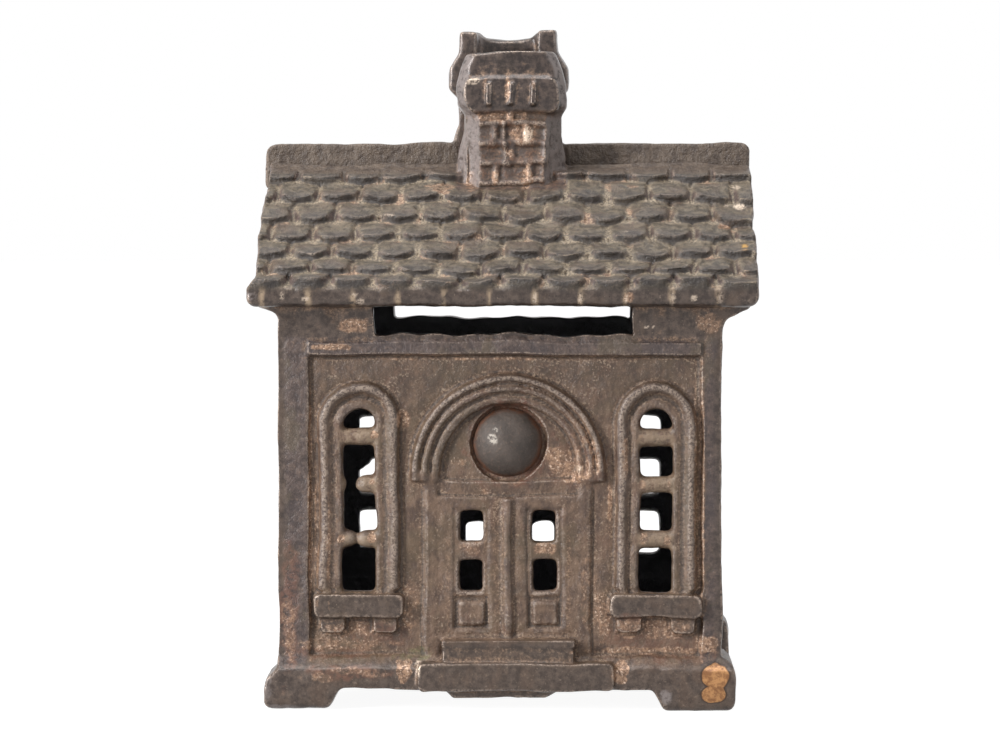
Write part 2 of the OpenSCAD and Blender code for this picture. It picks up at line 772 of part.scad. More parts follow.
// One casting, with its face towards -Y: 0 is the front one, 1 the back one before it is turned round
module casting(back) {
    base_top = base_z + back * back_rise;
    difference() {
        union() {
            difference() {
                union() {
                    translate([wall_x, 0, 0]) {
                        wall_block();
                        soffits();
                        base(base_out + back * back_base_out, base_top);
                    }
                    intersection() {
                        union() {
                            roof_block();
                            shingles();
                        }
                        roof_ends();
                    }
                    translate([chimney_at[back], 0, 0]) {
                        chimney(back);
                        brick_joints(back);
                    }
                    children();
                }
                // Sunk panel between the pilasters
                translate([panel_mid, 0, 0])
                    box_on_wall(-panel_x, panel_x, base_top, panel_top, -panel_sink, past);
                hollow();
                translate([chimney_at[back], 0, 0])
                    flue();
            }
            translate([panel_mid, 0, 0])
                fascia();
            translate([middle_x, 0, 0])
                bolt_boss();
            translate(trim_at[back]) {
                window_trim(-window_x);
                window_trim(window_x);
                door_trim();
                steps();
            }
        }
        translate(trim_at[back]) {
            fanlight_cut();
            pane_cuts();
            window_cut(-window_x);
            window_cut(window_x);
        }
        translate([middle_x, 0, 0])
            bolt_pocket(pocket_r[back]);
        coin_slot(back);
        // Face of the seam
        translate([-roof_x - past, -half_gap, 0])
            cube([2 * roof_x + 2 * past, half_d, rim_z + chimney_rise[back] + past]);
    }
}

// Thin band between the slot and the sunk panel
module fascia() {
    low = panel_top + 0.2;
    box_on_wall(-panel_x, panel_x, low, low + fascia_h, -sink, fascia_h / 6);
}

// Boss behind the bolt's seat
module bolt_boss() {
    translate([0, -seat_floor, bolt_z])
        rotate([90, 0, 0])
            cylinder(h = head_seat - seat_floor + 0.5, r = boss_r);
}

// Sunk fanlight under the arch
module fanlight_cut() {
    on_wall(-panel_sink - fan_sink, past)
        polygon(concat(
            [[arch_inner_r, arch_z - arch_leg]],
            arc(0, arch_z, arch_inner_r, 0, 180, 24),
            [[-arch_inner_r, arch_z - arch_leg]]
        ));
}

// Round pocket for the bolt's head or for its nut
module bolt_pocket(r) {
    translate([0, -head_seat, bolt_z])
        rotate([90, 0, 0])
            cylinder(h = eave_over + half_d - head_seat, r = r);
}

module window_cut(x) {
    through_wall()
        polygon(round_head(x, window_r, window_z, window_top));
}

// Front casting with the gate's stub, two broken window bars and a square hole for the bolt's neck
module front_half() {
    hole_w = neck_w + 2 * hole_clear;
    left_x = middle_x - window_x;
    color(iron)
        difference() {
            union() {
                casting(0)
                    gate_stub();
                for (z = bar_zs)
                    window_bar(middle_x + window_x, z, bar_d);
                window_bar(left_x, bar_zs[2], bar_d);
                broken_bar(left_x, bar_zs[1], -1.7, -0.5);
                // The lowest bar is pinched nearly through
                broken_bar(left_x, bar_zs[0], -0.4, -0.5);
            }
            translate([middle_x - hole_w / 2, -half_d - past, bolt_z - hole_w / 2])
                cube([hole_w, half_d, hole_w]);
        }
}

// Back casting with the ridge roll, the higher chimney rim and the locating lugs
module back_half() {
    color(dark_iron)
        union() {
            mirror([0, 1, 0])
                difference() {
                    union() {
                        casting(1)
                            ridge_roll();
                        for (side = [-1, 1], z = bar_zs)
                            window_bar(back_middle_x + side * window_x, z + back_bar_rise, back_bar_d);
                    }
                    translate([chimney_at[1], 0, rim_z + back_rim_rise])
                        rim_notch();
                    translate([middle_x, -half_gap, bolt_z])
                        rotate([90, 0, 0])
                            cylinder(h = half_d + past, d = bolt_d + 2 * hole_clear);
                }
            translate([wall_x, 0, 0])
                lugs();
        }
}

// Dip in the rim between its two corner posts
module rim_notch() {
    floor_x = flue_x - 0.8;
    translate([0, -half_gap - flue_wall, 0])
        rotate([90, 0, 0])
            linear_extrude(shaft_d)
                polygon(concat(
                    [[flue_x, past], [-flue_x, past], [-flue_x, 0]],
                    [for (t = [-1:0.25:1]) [t * floor_x, -rim_dip * (1.3 - 0.3 * t * t)]],
                    [[flue_x, 0]]
                ));
}

// Lugs of the back casting that lap inside the side walls of the front casting
module lugs() {
    lug_t = 1.6;
    lug_h = 5;
    lap = 3;
    clear = 0.3;
    lug_x = inner_x - clear - lug_t;
    for (side = [0, 1], z = [floor_top + lug_h, eave_z - 2.4 * lug_h])
        mirror([side, 0, 0]) {
            // Foot that joins the lug to the side wall
            translate([lug_x, half_gap + sink, z])
                cube([lug_t + clear + sink, lap, lug_h]);
            translate([lug_x, -lap, z])
                cube([lug_t, 2 * lap, lug_h]);
        }
}

// Bolt with a domed head and a square neck
module tie_bolt() {
    dome_r = (head_d * head_d / 4 + head_h * head_h) / (2 * head_h);
    thread_end = head_seat + washer_t + nut_h + bolt_end;
    color(steel)
        union() {
            // Head as a cap of a sphere on its seat
            translate([middle_x, -head_seat, bolt_z])
                rotate([90, 0, 0])
                    rotate_extrude()
                        polygon(concat(
                            [[0, 0]],
                            arc(0, head_h - dome_r, dome_r, asin((dome_r - head_h) / dome_r), 90, 12)
                        ));
            translate([middle_x - neck_w / 2, -head_seat, bolt_z - neck_w / 2])
                cube([neck_w, wall_t, neck_w]);
            translate([middle_x, -head_seat, bolt_z])
                rotate([-90, 0, 0])
                    cylinder(h = head_seat + thread_end, d = bolt_d);
        }
}

module washer() {
    color(steel)
        translate([middle_x, head_seat, bolt_z])
            rotate([-90, 0, 0])
                difference() {
                    cylinder(h = washer_t, d = washer_d);
                    translate([0, 0, -past])
                        cylinder(h = washer_t + 2 * past, d = bolt_d + 2 * hole_clear);
                }
}

module square_nut() {
    color(steel)
        translate([middle_x, head_seat + washer_t, bolt_z])
            rotate([-90, 0, 0])
                difference() {
                    translate([-nut_w / 2, -nut_w / 2, 0])
                        cube([nut_w, nut_w, nut_h]);
                    translate([0, 0, -past])
                        cylinder(h = nut_h + 2 * past, d = bolt_d + 2 * thread_clear);
                }
}

front_half();
back_half();
tie_bolt();
washer();
square_nut();
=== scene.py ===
"""Looks of the cast iron house bank: soft sand-cast surfaces, worn patina and a plain pale studio."""
import math

import bpy
import numpy as np
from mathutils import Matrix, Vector


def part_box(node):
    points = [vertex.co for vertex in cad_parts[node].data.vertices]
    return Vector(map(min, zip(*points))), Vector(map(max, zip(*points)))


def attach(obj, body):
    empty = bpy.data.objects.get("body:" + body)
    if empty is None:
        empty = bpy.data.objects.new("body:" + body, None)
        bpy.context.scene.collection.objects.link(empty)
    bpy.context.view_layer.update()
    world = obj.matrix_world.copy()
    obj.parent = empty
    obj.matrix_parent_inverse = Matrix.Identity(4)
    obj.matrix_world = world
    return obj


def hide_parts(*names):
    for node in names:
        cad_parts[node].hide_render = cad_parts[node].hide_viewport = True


MM = 0.001

# Sizes and places of the castings in millimetres, as in part.scad or close to it
HALF_WIDTH, HALF_DEPTH, WALL_X = 29.6, 25.0, -0.3
ROOM_X, ROOM_Y, FLOOR_TOP = 27.2, 22.6, 5.2
ROOF_SPACE_X, ROOF_SPACE_TOP, ROOF_SLOPE = 31.6, 70.2, 0.581
MIDDLE_X, CHIMNEY_X = 0.7, 0.9
EAVE_Z, EAVE_TOP, RIDGE_Z = 53.9, 56.1, 73.0
BASE_TOP, STEP_TOP, DOOR_LOW = 7.0, 6.4, 9.4
UPPER_STEP_HALF, NOTCH_X, NOTCH_HALF = 9.3, 9.9, 1.1
DOOR_LIGHT_X, DOOR_LIGHT_HALF, DOOR_LIGHT_LOW, DOOR_LIGHT_TOP = 4.9, 1.6, 15.2, 27.1
ARCH_INNER, ARCH_OUTER, ARCH_FOOT = 8.2, 14.2, 30.6
WINDOW_X, WINDOW_HALF, WINDOW_SPRING, WINDOW_CROWN = 19.8, 2.2, 38.1, 40
WINDOW_XS = [MIDDLE_X - WINDOW_X, MIDDLE_X + WINDOW_X]
SILL_LOW, SILL_TOP, SILL_HALF = 12.4, 15.4, 6.1
BRACKET_X, BRACKET_HALF, BRACKET_LOW = 3.5, 1.5, 10.1
BAR_ZS, BAR_HALF = (22.6, 30.1, 36.4), 2.4
SLOT_X, SLOT_HALF, SLOT_LOW = 0.2, 17.2, 49.7
CHIMNEY_LOW, CAP_LOW, CAP_TOP = 69, 79.9, 84.9
FLUE_HALF, FLUE_LOW, FLUE_TOP = 4.5, 66, 86
BOLT_Z, HEAD_R, POCKET_R = 35.6, 4.7, 5.2
# The lower step and the wall's sunk panel in a front view: left, right, low and high
LOWER_STEP = (-12.0, 15.0, 2, STEP_TOP + 0.1)
PANEL = (-25.9, 26.8, -9, 47.3)
# Heights between which the wall turns darker
UPPER_FROM, UPPER_FULL = 37, 45
# Lower edges of the shingle courses, measured down the slope from the ridge
COURSES = (5.9, 11.67, 17.04, 22.01, 26.58, 30.75, 33.45)
SHINGLE_W, SHINGLE_GAP, SHINGLE_CURVE = 5.667, 0.6, 1.5
# Light streaks down the front of the eave
TICK_X, TICK_PITCH = -1.6, 6.0
# A distance in millimetres that is farther than any that counts on the roof
FAR_OFF = 9.0

# Finest detail of the surfaces, in millimetres
CAST_VOXEL, STEEL_VOXEL = 0.26, 0.14
# Relief written on the pieces: name, rounds of smoothing that it stands out from, and the height of 1
RELIEFS = [("edge", 5, 0.05), ("fine", 16, 0.15), ("proud", 60, 0.35)]
# Rounds of smoothing that round the corners of openings, and that soften walls and roof
OPENING_ROUNDS, SOFT_ROUNDS = {"front_half": 16, "back_half": 60}, 25
# How much of the softened relief is given back, and how far the lumps of the casting reach
GIVEN_BACK, BULGE, WANDER = 1.1, 0.1, 0.2

# Seeds of the surfaces' lumps and of the noise in the masks
SEEDS = {"front_half": 11, "back_half": 21, "tie_bolt": 31, "washer": 41, "square_nut": 51}
FRONT_DRIFT_SEED, BACK_DRIFT_SEED, RIM_SEED = 61, 62, 71
RIPPLE_SEED, TICK_SEED, RAG_SEED = 83, 84, 91

# Camera of the photograph, in metres and degrees, and the studio's light
SENSOR_WIDTH, CAMERA_LENS = 36, 130.18
CAMERA_PLACE = (0.0096885, -0.505, 0.069235)
CAMERA_TILT, CAMERA_TURN = 2.9288, 1.1882
FLOOR_GREY, FLOOR_GLOW, WORLD_LIGHT = 0.24, 0.93, 0.22
LAMP_AIM = (0, 0, 0.045)
# Name, place, width and height in metres, and power
LAMPS = [
    ("left_window", (-0.42, -0.3, 0.2), 0.08, 0.34, 3.3),
    ("right_softbox", (0.4, -0.42, 0.2), 0.2, 0.3, 0.4),
    ("top_softbox", (-0.05, -0.08, 0.6), 0.3, 0.3, 2.0),
]

# Uneven corners of the openings: x, z, shift along x and z, and reach, in millimetres
FRONT_NICKS = [(-15.9, 31.1, 0.0, 0.5, 1.4)]
BACK_NICKS = [(-21.9, 30.2, 0.95, -0.8, 2.3), (-20.5, 16.5, 0.0, 0.75, 3.2), (-17.5, 16.5, 0.0, 0.75, 3.2)]

# Marks on the front: middle x and z, half width and half height in millimetres, and strength
RUBBED = {
    "lower step and base": [
        (-12.9, 5.2, 1.2, 1.5, 3.0), (-24.0, 4.4, 1.8, 0.8, 0.5), (-20.7, 5.3, 2.6, 0.7, 0.42),
        (-17.1, 5.0, 2.4, 0.8, 0.4), (15.9, 5.3, 1.0, 1.5, 3.0), (-28.4, 11.0, 1.0, 4.5, 0.4),
    ],
    "panel above the base": [
        (27.2, 8.8, 1.7, 1.1, 0.9), (19.0, 7.8, 9.0, 0.6, 0.65), (-20.5, 8.6, 6.5, 0.9, 0.5),
        (-12.3, 13.4, 1.3, 3.6, 0.5), (-20.8, 10.5, 4.5, 1.2, 0.55), (-28.5, 9.2, 0.9, 1.0, 0.5),
        (21.0, 10.8, 5.5, 1.6, 0.6), (13.4, 12.5, 1.1, 4.0, 0.55), (11.7, 15.0, 1.2, 5.5, 0.4),
    ],
    "door": [(5.7, 21.5, 1.7, 1.0, 0.9), (-4.2, 21.5, 1.5, 0.9, 0.45), (-2.4, 29.0, 0.5, 0.5, 0.6)],
    "arch": [
        (9.95, 31.6, 1.9, 1.4, 1.0), (6.85, 34.1, 1.5, 1.0, 0.8), (8.8, 32.8, 2.9, 1.8, 0.6),
        (-6.0, 33.0, 1.6, 0.6, 0.4), (10.2, 37.5, 1.1, 3.0, 0.35),
        (11.4, 36.7, 0.45, 1.0, 0.85), (12.0, 35.1, 0.5, 1.2, 0.9), (12.5, 33.1, 0.6, 1.4, 0.85),
        (0.9, 30.2, 1.4, 0.35, 0.45),
    ],
    "edges of the panel": [
        (26.6, 28, 0.35, 19, 0.75), (-25.6, 27, 0.3, 18, 0.75), (0.5, 47.0, 25, 0.35, 0.55),
    ],
    "beside the slot": [
        (-19.9, 51.3, 2.2, 1.3, 0.75), (-22.4, 48.4, 2.8, 0.45, 0.8), (-9.9, 47.1, 3.7, 0.4, 0.6),
        (27.7, 51.6, 1.9, 1.3, 0.6),
    ],
    "windows": [
        (-13.2, 38.7, 0.8, 1.6, 0.75), (-17.0, 36.6, 0.6, 0.5, 0.9), (-17.3, 30.4, 0.6, 0.55, 0.9),
        (-17.4, 22.9, 0.6, 0.7, 0.9), (-21.4, 22.8, 0.5, 0.6, 0.8), (-24.7, 25.0, 0.35, 10.0, 0.7),
        (-23.1, 22.0, 0.3, 7.0, 0.7), (16.4, 33.7, 0.3, 3.7, 0.7), (14.4, 27.5, 0.35, 2.5, 0.8),
        (25.7, 30.0, 0.3, 15.0, 0.5), (18.6, 30.0, 0.5, 0.7, 0.6), (22.3, 30.0, 0.4, 0.7, 0.6),
        (18.6, 36.4, 0.4, 0.6, 0.4), (18.8, 22.6, 0.6, 0.8, 0.6), (22.0, 22.6, 0.5, 0.8, 0.6),
    ],
    "chimney": [
        (0.7, 74.5, 0.6, 0.6, 0.7), (3.1, 70.9, 0.8, 1.4, 0.95), (-4.6, 70.4, 0.8, 1.4, 1.0),
        (-1.4, 70.6, 0.55, 1.1, 0.95), (0.35, 83.0, 0.5, 2.1, 0.7), (-2.65, 83.2, 0.35, 1.5, 0.5),
        (4.0, 84.0, 0.3, 1.2, 0.4), (0.0, 79.2, 4.5, 0.7, 0.7), (5.0, 72.5, 0.7, 2.2, 0.45),
        (2.6, 77.0, 1.9, 1.9, 0.75),
    ],
    "roof": [
        (-8.2, 68.9, 0.9, 0.35, 0.9), (17.7, 69.7, 0.9, 0.25, 0.6), (16.7, 55.0, 0.8, 0.9, 0.8),
        (30.0, 64.3, 0.9, 0.35, 0.9), (-8.7, 69.6, 2.4, 0.5, 0.6),
    ],
}
# Painted highlights: small near-white glints, in the same columns as the marks above
PAINTED_HIGHLIGHTS = [
    (4.4, 55.0, 0.3, 0.9, 0.8), (10.4, 55.0, 0.25, 0.8, 0.7), (16.4, 54.8, 0.25, 0.6, 0.8),
    (-11.2, 5.6, 0.35, 1.1, 1.0), (3.2, 76.9, 0.6, 1.2, 1.0), (-4.3, 84.2, 0.9, 0.5, 0.7),
    (32.1, 66.9, 0.9, 0.4, 1.0), (30.3, 67.1, 0.4, 0.25, 0.8), (16.5, 63.7, 0.4, 0.15, 0.7),
    (31.9, 69.6, 0.6, 0.25, 0.7), (19.2, 51.1, 0.35, 0.25, 1.0), (20.1, 51.1, 0.25, 0.2, 0.9),
    (25.3, 55.0, 0.4, 0.35, 0.8), (-25.8, 54.9, 0.8, 0.35, 0.8), (-29.0, 55.3, 0.4, 0.6, 0.6),
    (-19.4, 55.4, 0.35, 0.4, 0.6), (-18.6, 54.5, 0.5, 0.5, 0.6), (22.6, 54.9, 0.35, 1.2, 0.5),
    (28.9, 54.9, 0.35, 0.9, 0.5), (25.8, 35.7, 0.2, 0.3, 1.0), (19.5, 28.9, 1.0, 0.15, 0.9),
    (10.3, 32.3, 0.5, 0.4, 0.7), (-15.6, 65.9, 0.7, 0.15, 0.5), (-25.6, 60.7, 0.7, 0.15, 0.5),
]
# Painted highlights on the bolt's dome, in the same columns as the marks above
PAINTED_HEAD_HIGHLIGHTS = [(-1.3, 36.2, 0.7, 0.8, 0.4), (-0.9, 37.4, 0.5, 0.4, 0.35)]
CHIPS = [(28.5, 4.6, 1.9, 1.75, 1.0), (28.1, 2.35, 1.75, 1.3, 1.0)]
OCHRE = [(32.3, 61.6, 0.5, 0.5, 1.0)]
RUST = [
    (MIDDLE_X, BOLT_Z, 5.8, 5.8, 1.0), (-22.0, 7.6, 6.0, 0.9, 0.6), (-20.0, 5.0, 6.0, 1.1, 0.7),
    (-28.4, 14.0, 1.3, 9.0, 0.7), (22.5, 8.6, 6.5, 2.2, 0.5), (17.0, 10.5, 4.5, 2.5, 0.6),
    (-17.5, 10.0, 5.5, 2.0, 0.5), (9.5, 33.0, 4.0, 3.5, 0.4),
]
MOSS = [(-10.9, 7.4, 1.7, 0.8, 1.0), (-13.0, 7.0, 1.5, 0.5, 0.6)]
DUSTY = [
    (8.85, 17.5, 0.3, 8.0, 0.8), (14.3, 25.5, 0.35, 5.5, 0.9), (-7.2, 17.0, 0.25, 8.0, 0.6),
    (-2.2, 17.5, 0.25, 8.0, 0.5), (-0.4, 21.0, 0.9, 8.5, 0.55), (-10.8, 20.0, 0.3, 9.0, 0.5),
    (-5.0, 15.3, 1.9, 0.3, 0.8), (5.0, 15.3, 1.8, 0.3, 0.7), (0.9, 9.7, 8.4, 0.3, 0.6),
    (-19.2, 15.6, 5.6, 0.3, 0.5), (20.6, 15.6, 5.6, 0.3, 0.5), (11.6, 20.0, 0.3, 9.0, 0.5),
]
# Painted rim highlights on rounded ends of the base and the eave, in the same columns as the marks above
PAINTED_RIM_LIGHTS = [
    (21.8, 1.9, 0.7, 0.9, 0.8), (-33.2, 55.2, 0.9, 0.5, 0.8), (-31.4, 4.0, 0.7, 3.0, 0.45),
    (33.4, 3.6, 0.35, 2.8, 0.7), (-33.6, 3.2, 0.35, 2.2, 0.7), (-29.5, 0.5, 2.6, 0.3, 0.5),
]
# How ragged the edges of the chips are, where 1 is as ragged as other marks
CHIP_RAG = 0.3


def lattice_noise(points, cell, seed, channels=1):
    """Smooth random values from -1 to 1 on a lattice of cells, with one column for each channel."""
    low = points.min(0) - cell
    count = np.ceil((points.max(0) + 2 * cell - low) / cell).astype(int) + 1
    values = np.random.default_rng(seed).uniform(-1, 1, (*count, channels))
    place = (points - low) / cell
    corner = np.floor(place).astype(int)
    part = place - corner
    part = part * part * (3 - 2 * part)
    total = np.zeros((len(points), channels))
    for dx in (0, 1):
        for dy in (0, 1):
            for dz in (0, 1):
                share = np.ones(len(points))
                for axis, step in enumerate((dx, dy, dz)):
                    share = share * (part[:, axis] if step else 1 - part[:, axis])
                total += share[:, None] * values[corner[:, 0] + dx, corner[:, 1] + dy, corner[:, 2] + dz]
    return total


def ramp(value, low, high):
    """0 below low, 1 above high and smooth between them."""
    share = np.clip((value - low) / (high - low), 0, 1)
    return share * share * (3 - 2 * share)


def points_of(mesh):
    """The mesh's vertices in millimetres."""
    flat = np.empty(len(mesh.vertices) * 3)
    mesh.vertices.foreach_get("co", flat)
    return flat.reshape(-1, 3) / MM


def normals_of(mesh):
    flat = np.empty(len(mesh.vertices) * 3, np.float32)
    mesh.vertex_normals.foreach_get("vector", flat)
    return flat.reshape(-1, 3).astype(float)


def place_points(mesh, points):
    mesh.vertices.foreach_set("co", (points * MM).ravel())
    mesh.update()


def write_attribute(mesh, name, values):
    attribute = mesh.attributes.new(name, "FLOAT", "POINT")
    attribute.data.foreach_set("value", values.astype(np.float32))


def shaped(piece, kind, **settings):
    """The piece's mesh as one modifier leaves it."""
    modifier = piece.modifiers.new("Shape", kind)
    for key, value in settings.items():
        setattr(modifier, key, value)
    depsgraph = bpy.context.evaluated_depsgraph_get()
    mesh = bpy.data.meshes.new_from_object(piece.evaluated_get(depsgraph))
    piece.modifiers.clear()
    return mesh


def relief(piece, normals, rounds):
    """How far each vertex stands out, in millimetres, from what so many rounds of smoothing leave."""
    smooth = points_of(shaped(piece, "SMOOTH", factor=0.5, iterations=rounds))
    return ((points_of(piece.data) - smooth) * normals).sum(1)


def down_slope(points):
    """How far each point lies down the roof's slope from the ridge, and the direction of that way."""
    run = 1 / math.hypot(1, ROOF_SLOPE)
    way = np.stack((0 * points[:, 0], run * np.sign(points[:, 1]), 0 * points[:, 0] - run * ROOF_SLOPE), 1)
    return run * np.abs(points[:, 1]) + run * ROOF_SLOPE * (RIDGE_Z - points[:, 2]), way


def across_shingle(x, course):
    """Place across the shingle of a course, from 0 in its middle to 1 at its sides."""
    return np.abs((x / SHINGLE_W + course % 2 / 2) % 1 - 0.5) * 2 * SHINGLE_W / (SHINGLE_W - SHINGLE_GAP)


def lip_of(x, course, rounder):
    """The lower edge of a course at x, as part.scad cuts it or rounder as cast."""
    u = np.minimum(across_shingle(x, course), 1)
    lift = 1 - np.sqrt(1 - u ** 3)
    if rounder:
        lift = 0.15 * lift + 0.55 * u * u
    return COURSES[course] - SHINGLE_CURVE * lift


def rounder_shingles(points):
    """The points with the shingles' lower edges curved more evenly."""
    s, way = down_slope(points)
    under = ROOF_SPACE_TOP - ROOF_SLOPE * np.abs(points[:, 1])
    near_roof = ramp(points[:, 2], EAVE_TOP - 0.5, EAVE_TOP + 0.5) * (points[:, 2] > under + 1.2)
    for course in range(len(COURSES) - 1):
        lip = lip_of(points[:, 0], course, False)
        lift = lip - lip_of(points[:, 0], course, True)
        near = near_roof * (1 - ramp(np.abs(s - lip), 0.7, 1.9))
        points = points - (near * lift)[:, None] * way
    return points


def shingle_places(points):
    """How far each point lies above the next lip and below the last course, and its place across."""
    s, way = down_slope(points)
    ripple = 0.12 * lattice_noise(points, 1.4, RIPPLE_SEED)[:, 0]
    above, below, across = np.full(len(s), FAR_OFF), np.full(len(s), FAR_OFF), np.zeros(len(s))
    for course in range(len(COURSES)):
        beyond = s - lip_of(points[:, 0], course, True) + ripple
        if course:
            shown = (beyond < 0.7) & (last > 0.7)
            across = np.where(shown, across_shingle(points[:, 0], course), across)
        above = np.where(beyond < 0, np.minimum(above, -beyond), above)
        band = np.maximum(s - COURSES[course] + 0.35 + ripple, 0)
        below = np.where(beyond >= 0, np.minimum(below, band), below)
        last = beyond
    ridge = ramp(points[:, 2], RIDGE_Z - 1.6, RIDGE_Z - 1.2)
    return above + FAR_OFF * ridge, below + FAR_OFF * ridge, across


def rounder_openings(piece, rounds):
    """The points with the corners of windows and door lights rounded and a little uneven."""
    points = points_of(piece.data)
    blurred = points_of(shaped(piece, "SMOOTH", factor=0.5, iterations=rounds))
    x, y, z = np.abs(points[:, 0] - MIDDLE_X), np.abs(points[:, 1]), points[:, 2]
    window = 1 - ramp(np.abs(x - WINDOW_X), WINDOW_HALF, WINDOW_HALF + 0.7)
    window = window * ramp(z, SILL_TOP - 0.4, SILL_TOP + 0.2)
    window = window * (1 - ramp(z, WINDOW_CROWN, WINDOW_CROWN + 1))
    lights = 1 - ramp(np.abs(x - DOOR_LIGHT_X), DOOR_LIGHT_HALF, DOOR_LIGHT_HALF + 0.6)
    lights = lights * ramp(z, DOOR_LIGHT_LOW, DOOR_LIGHT_LOW + 0.5)
    lights = lights * (1 - ramp(z, DOOR_LIGHT_TOP - 0.5, DOOR_LIGHT_TOP))
    near = np.maximum(window, lights) * ramp(y, ROOM_Y - 0.6, ROOM_Y)
    return points + 0.85 * near[:, None] * (blurred - points)


def deepened(piece, share):
    """The points with the relief of walls and roof made deeper after the softening, and softer edges."""
    points = points_of(piece.data)
    blurred = points_of(shaped(piece, "SMOOTH", factor=0.5, iterations=SOFT_ROUNDS))
    x, y, z = points.T
    side, depth = np.sign(y), np.abs(y)
    near_wall = ramp(depth, 23.6, 24.1) * ramp(z, BASE_TOP, BASE_TOP + 0.8)
    near_wall = near_wall * (1 - ramp(z, EAVE_Z - 1, EAVE_Z))
    near_wall = near_wall * (1 - ramp(np.abs(x - WALL_X), HALF_WIDTH - 1.6, HALF_WIDTH - 0.8))
    near_wall = np.maximum(near_wall, (z > 70) * (np.abs(x - CHIMNEY_X) < 5.8) * ramp(depth, 5.2, 6))
    under = ROOF_SPACE_TOP - ROOF_SLOPE * depth
    near_roof = ramp(z - under, 1.2, 1.8) * ramp(z, EAVE_TOP - 1, EAVE_TOP) * (1 - ramp(z, 71.5, 72.5))
    near_roof = near_roof * (np.abs(x) < 33) * (near_wall < 0.5)
    soft = 0.5 * (1 - ramp(z, BASE_TOP, BASE_TOP + 0.6))
    from_middle = np.abs(x - MIDDLE_X)
    feet = ramp(from_middle, ARCH_INNER, ARCH_INNER + 0.6)
    feet = feet * (1 - ramp(from_middle, ARCH_OUTER - 0.6, ARCH_OUTER))
    feet = feet * (1 - ramp(np.abs(z - ARCH_FOOT), 0.5, 1.5))
    soft = np.maximum(soft, feet * (depth > 24.2))
    eave = ramp(z, EAVE_Z - 1.6, EAVE_Z - 0.6) * (1 - ramp(z, EAVE_TOP - 0.3, EAVE_TOP + 0.3))
    soft = np.maximum(soft, eave)
    blocks = boxes_about(WINDOW_XS, SILL_HALF, SILL_LOW, SILL_TOP)
    blocks += boxes_about([MIDDLE_X], UPPER_STEP_HALF, STEP_TOP, DOOR_LOW)
    on_block = box_mask(points, blocks, 0.8) * (depth > HALF_DEPTH - 0.2)
    near_wall = near_wall * (1 - on_block)
    soft = np.maximum(soft, 0.4 * on_block) * (depth > ROOM_Y + 0.5)
    soft = np.maximum(soft, ramp(z, CAP_LOW - 1, CAP_LOW) * (1 - 0.8 * (depth > 6) * (z < CAP_TOP - 0.4)))
    roof_share = 0.6
    near_wall, near_roof = near_wall * (1 - soft), near_roof * (1 - soft) * roof_share
    slope = math.atan(ROOF_SLOPE)
    sides = ramp(shingle_places(points)[2], 0.55, 1.0) * near_roof / roof_share
    near_roof, soft = 0.3 * near_roof * (1 - sides), np.maximum(soft, 1.2 * sides)
    points = points + 0.75 * soft[:, None] * (blurred - points)
    for near, lean, rise, most in (
        (near_wall, 1.0, 0.0, 0.45),
        (near_roof, math.sin(slope), math.cos(slope), 0.4),
    ):
        out = np.stack((0 * y, lean * side, rise + 0 * y), 1)
        gap = points - blurred
        height = (gap * out).sum(1)
        aside = np.linalg.norm(gap - height[:, None] * out, axis=1)
        push = share * np.clip(height, -most, most) * near * (1 - ramp(aside, 0.15, 0.45))
        points = points + push[:, None] * out
    return points


def filled_notches(points):
    """The points with the gaps between the upper step and the door's frame filled, as cast."""
    y = points[:, 1]
    middles = [MIDDLE_X - NOTCH_X, MIDDLE_X + NOTCH_X]
    gaps = boxes_about(middles, NOTCH_HALF, STEP_TOP - 0.4, DOOR_LOW + 0.4)
    rise = box_mask(points, gaps, 0.4) * np.clip(HALF_DEPTH - 0.1 - np.abs(y), 0, 1.6)
    rise = rise * (np.abs(y) > ROOM_Y + 0.7)
    return points + rise[:, None] * np.sign(y)[:, None] * np.array((0, 1, 0))


def wider_surrounds(points):
    """The points with the mouldings round the windows a little wider than part.scad has them."""
    x, y, z = points.T
    near_front = (np.abs(y) > ROOM_Y + 0.5) * ramp(z, SILL_TOP, SILL_TOP + 1)
    for side in (-1, 1):
        across = x - MIDDLE_X - side * WINDOW_X
        up = np.maximum(z - WINDOW_SPRING, 0)
        reach = np.maximum(np.hypot(across, up), 0.01)
        grow = 0.55 * near_front * ramp(reach, 2.7, 4.5) * (1 - ramp(reach, 5.2, 6.8)) / reach
        points = points + grow[:, None] * np.stack((across, 0 * y, up), 1)
    return points


def uneven_lights(points, nicks):
    """The points with corners of the openings pushed in or out, as the casting left them."""
    for x, z, across, up, reach in nicks:
        away = np.hypot(points[:, 0] - x, points[:, 2] - z)
        near = (1 - ramp(away, 0.2, reach)) * (np.abs(points[:, 1]) > ROOM_Y - 1)
        points = points + near[:, None] * np.array((across, 0, up))
    return points


def wavy_slot(points, lumps):
    """The points with the coin slot's lower edge a little higher and uneven."""
    x, y, z = points.T
    near = (np.abs(y) > ROOM_Y - 1) * (1 - ramp(np.abs(x - SLOT_X), SLOT_HALF - 0.4, SLOT_HALF + 0.4))
    near = near * ramp(z, SLOT_LOW - 1.2, SLOT_LOW - 0.1) * (1 - ramp(z, SLOT_LOW + 0.5, SLOT_LOW + 1.6))
    lift = 0.32 + 0.14 * np.sin(0.47 * x + 0.8) + 0.1 * np.sin(1.3 * x)
    return points + lumps * near[:, None] * lift[:, None] * np.array((0, 0, 1))


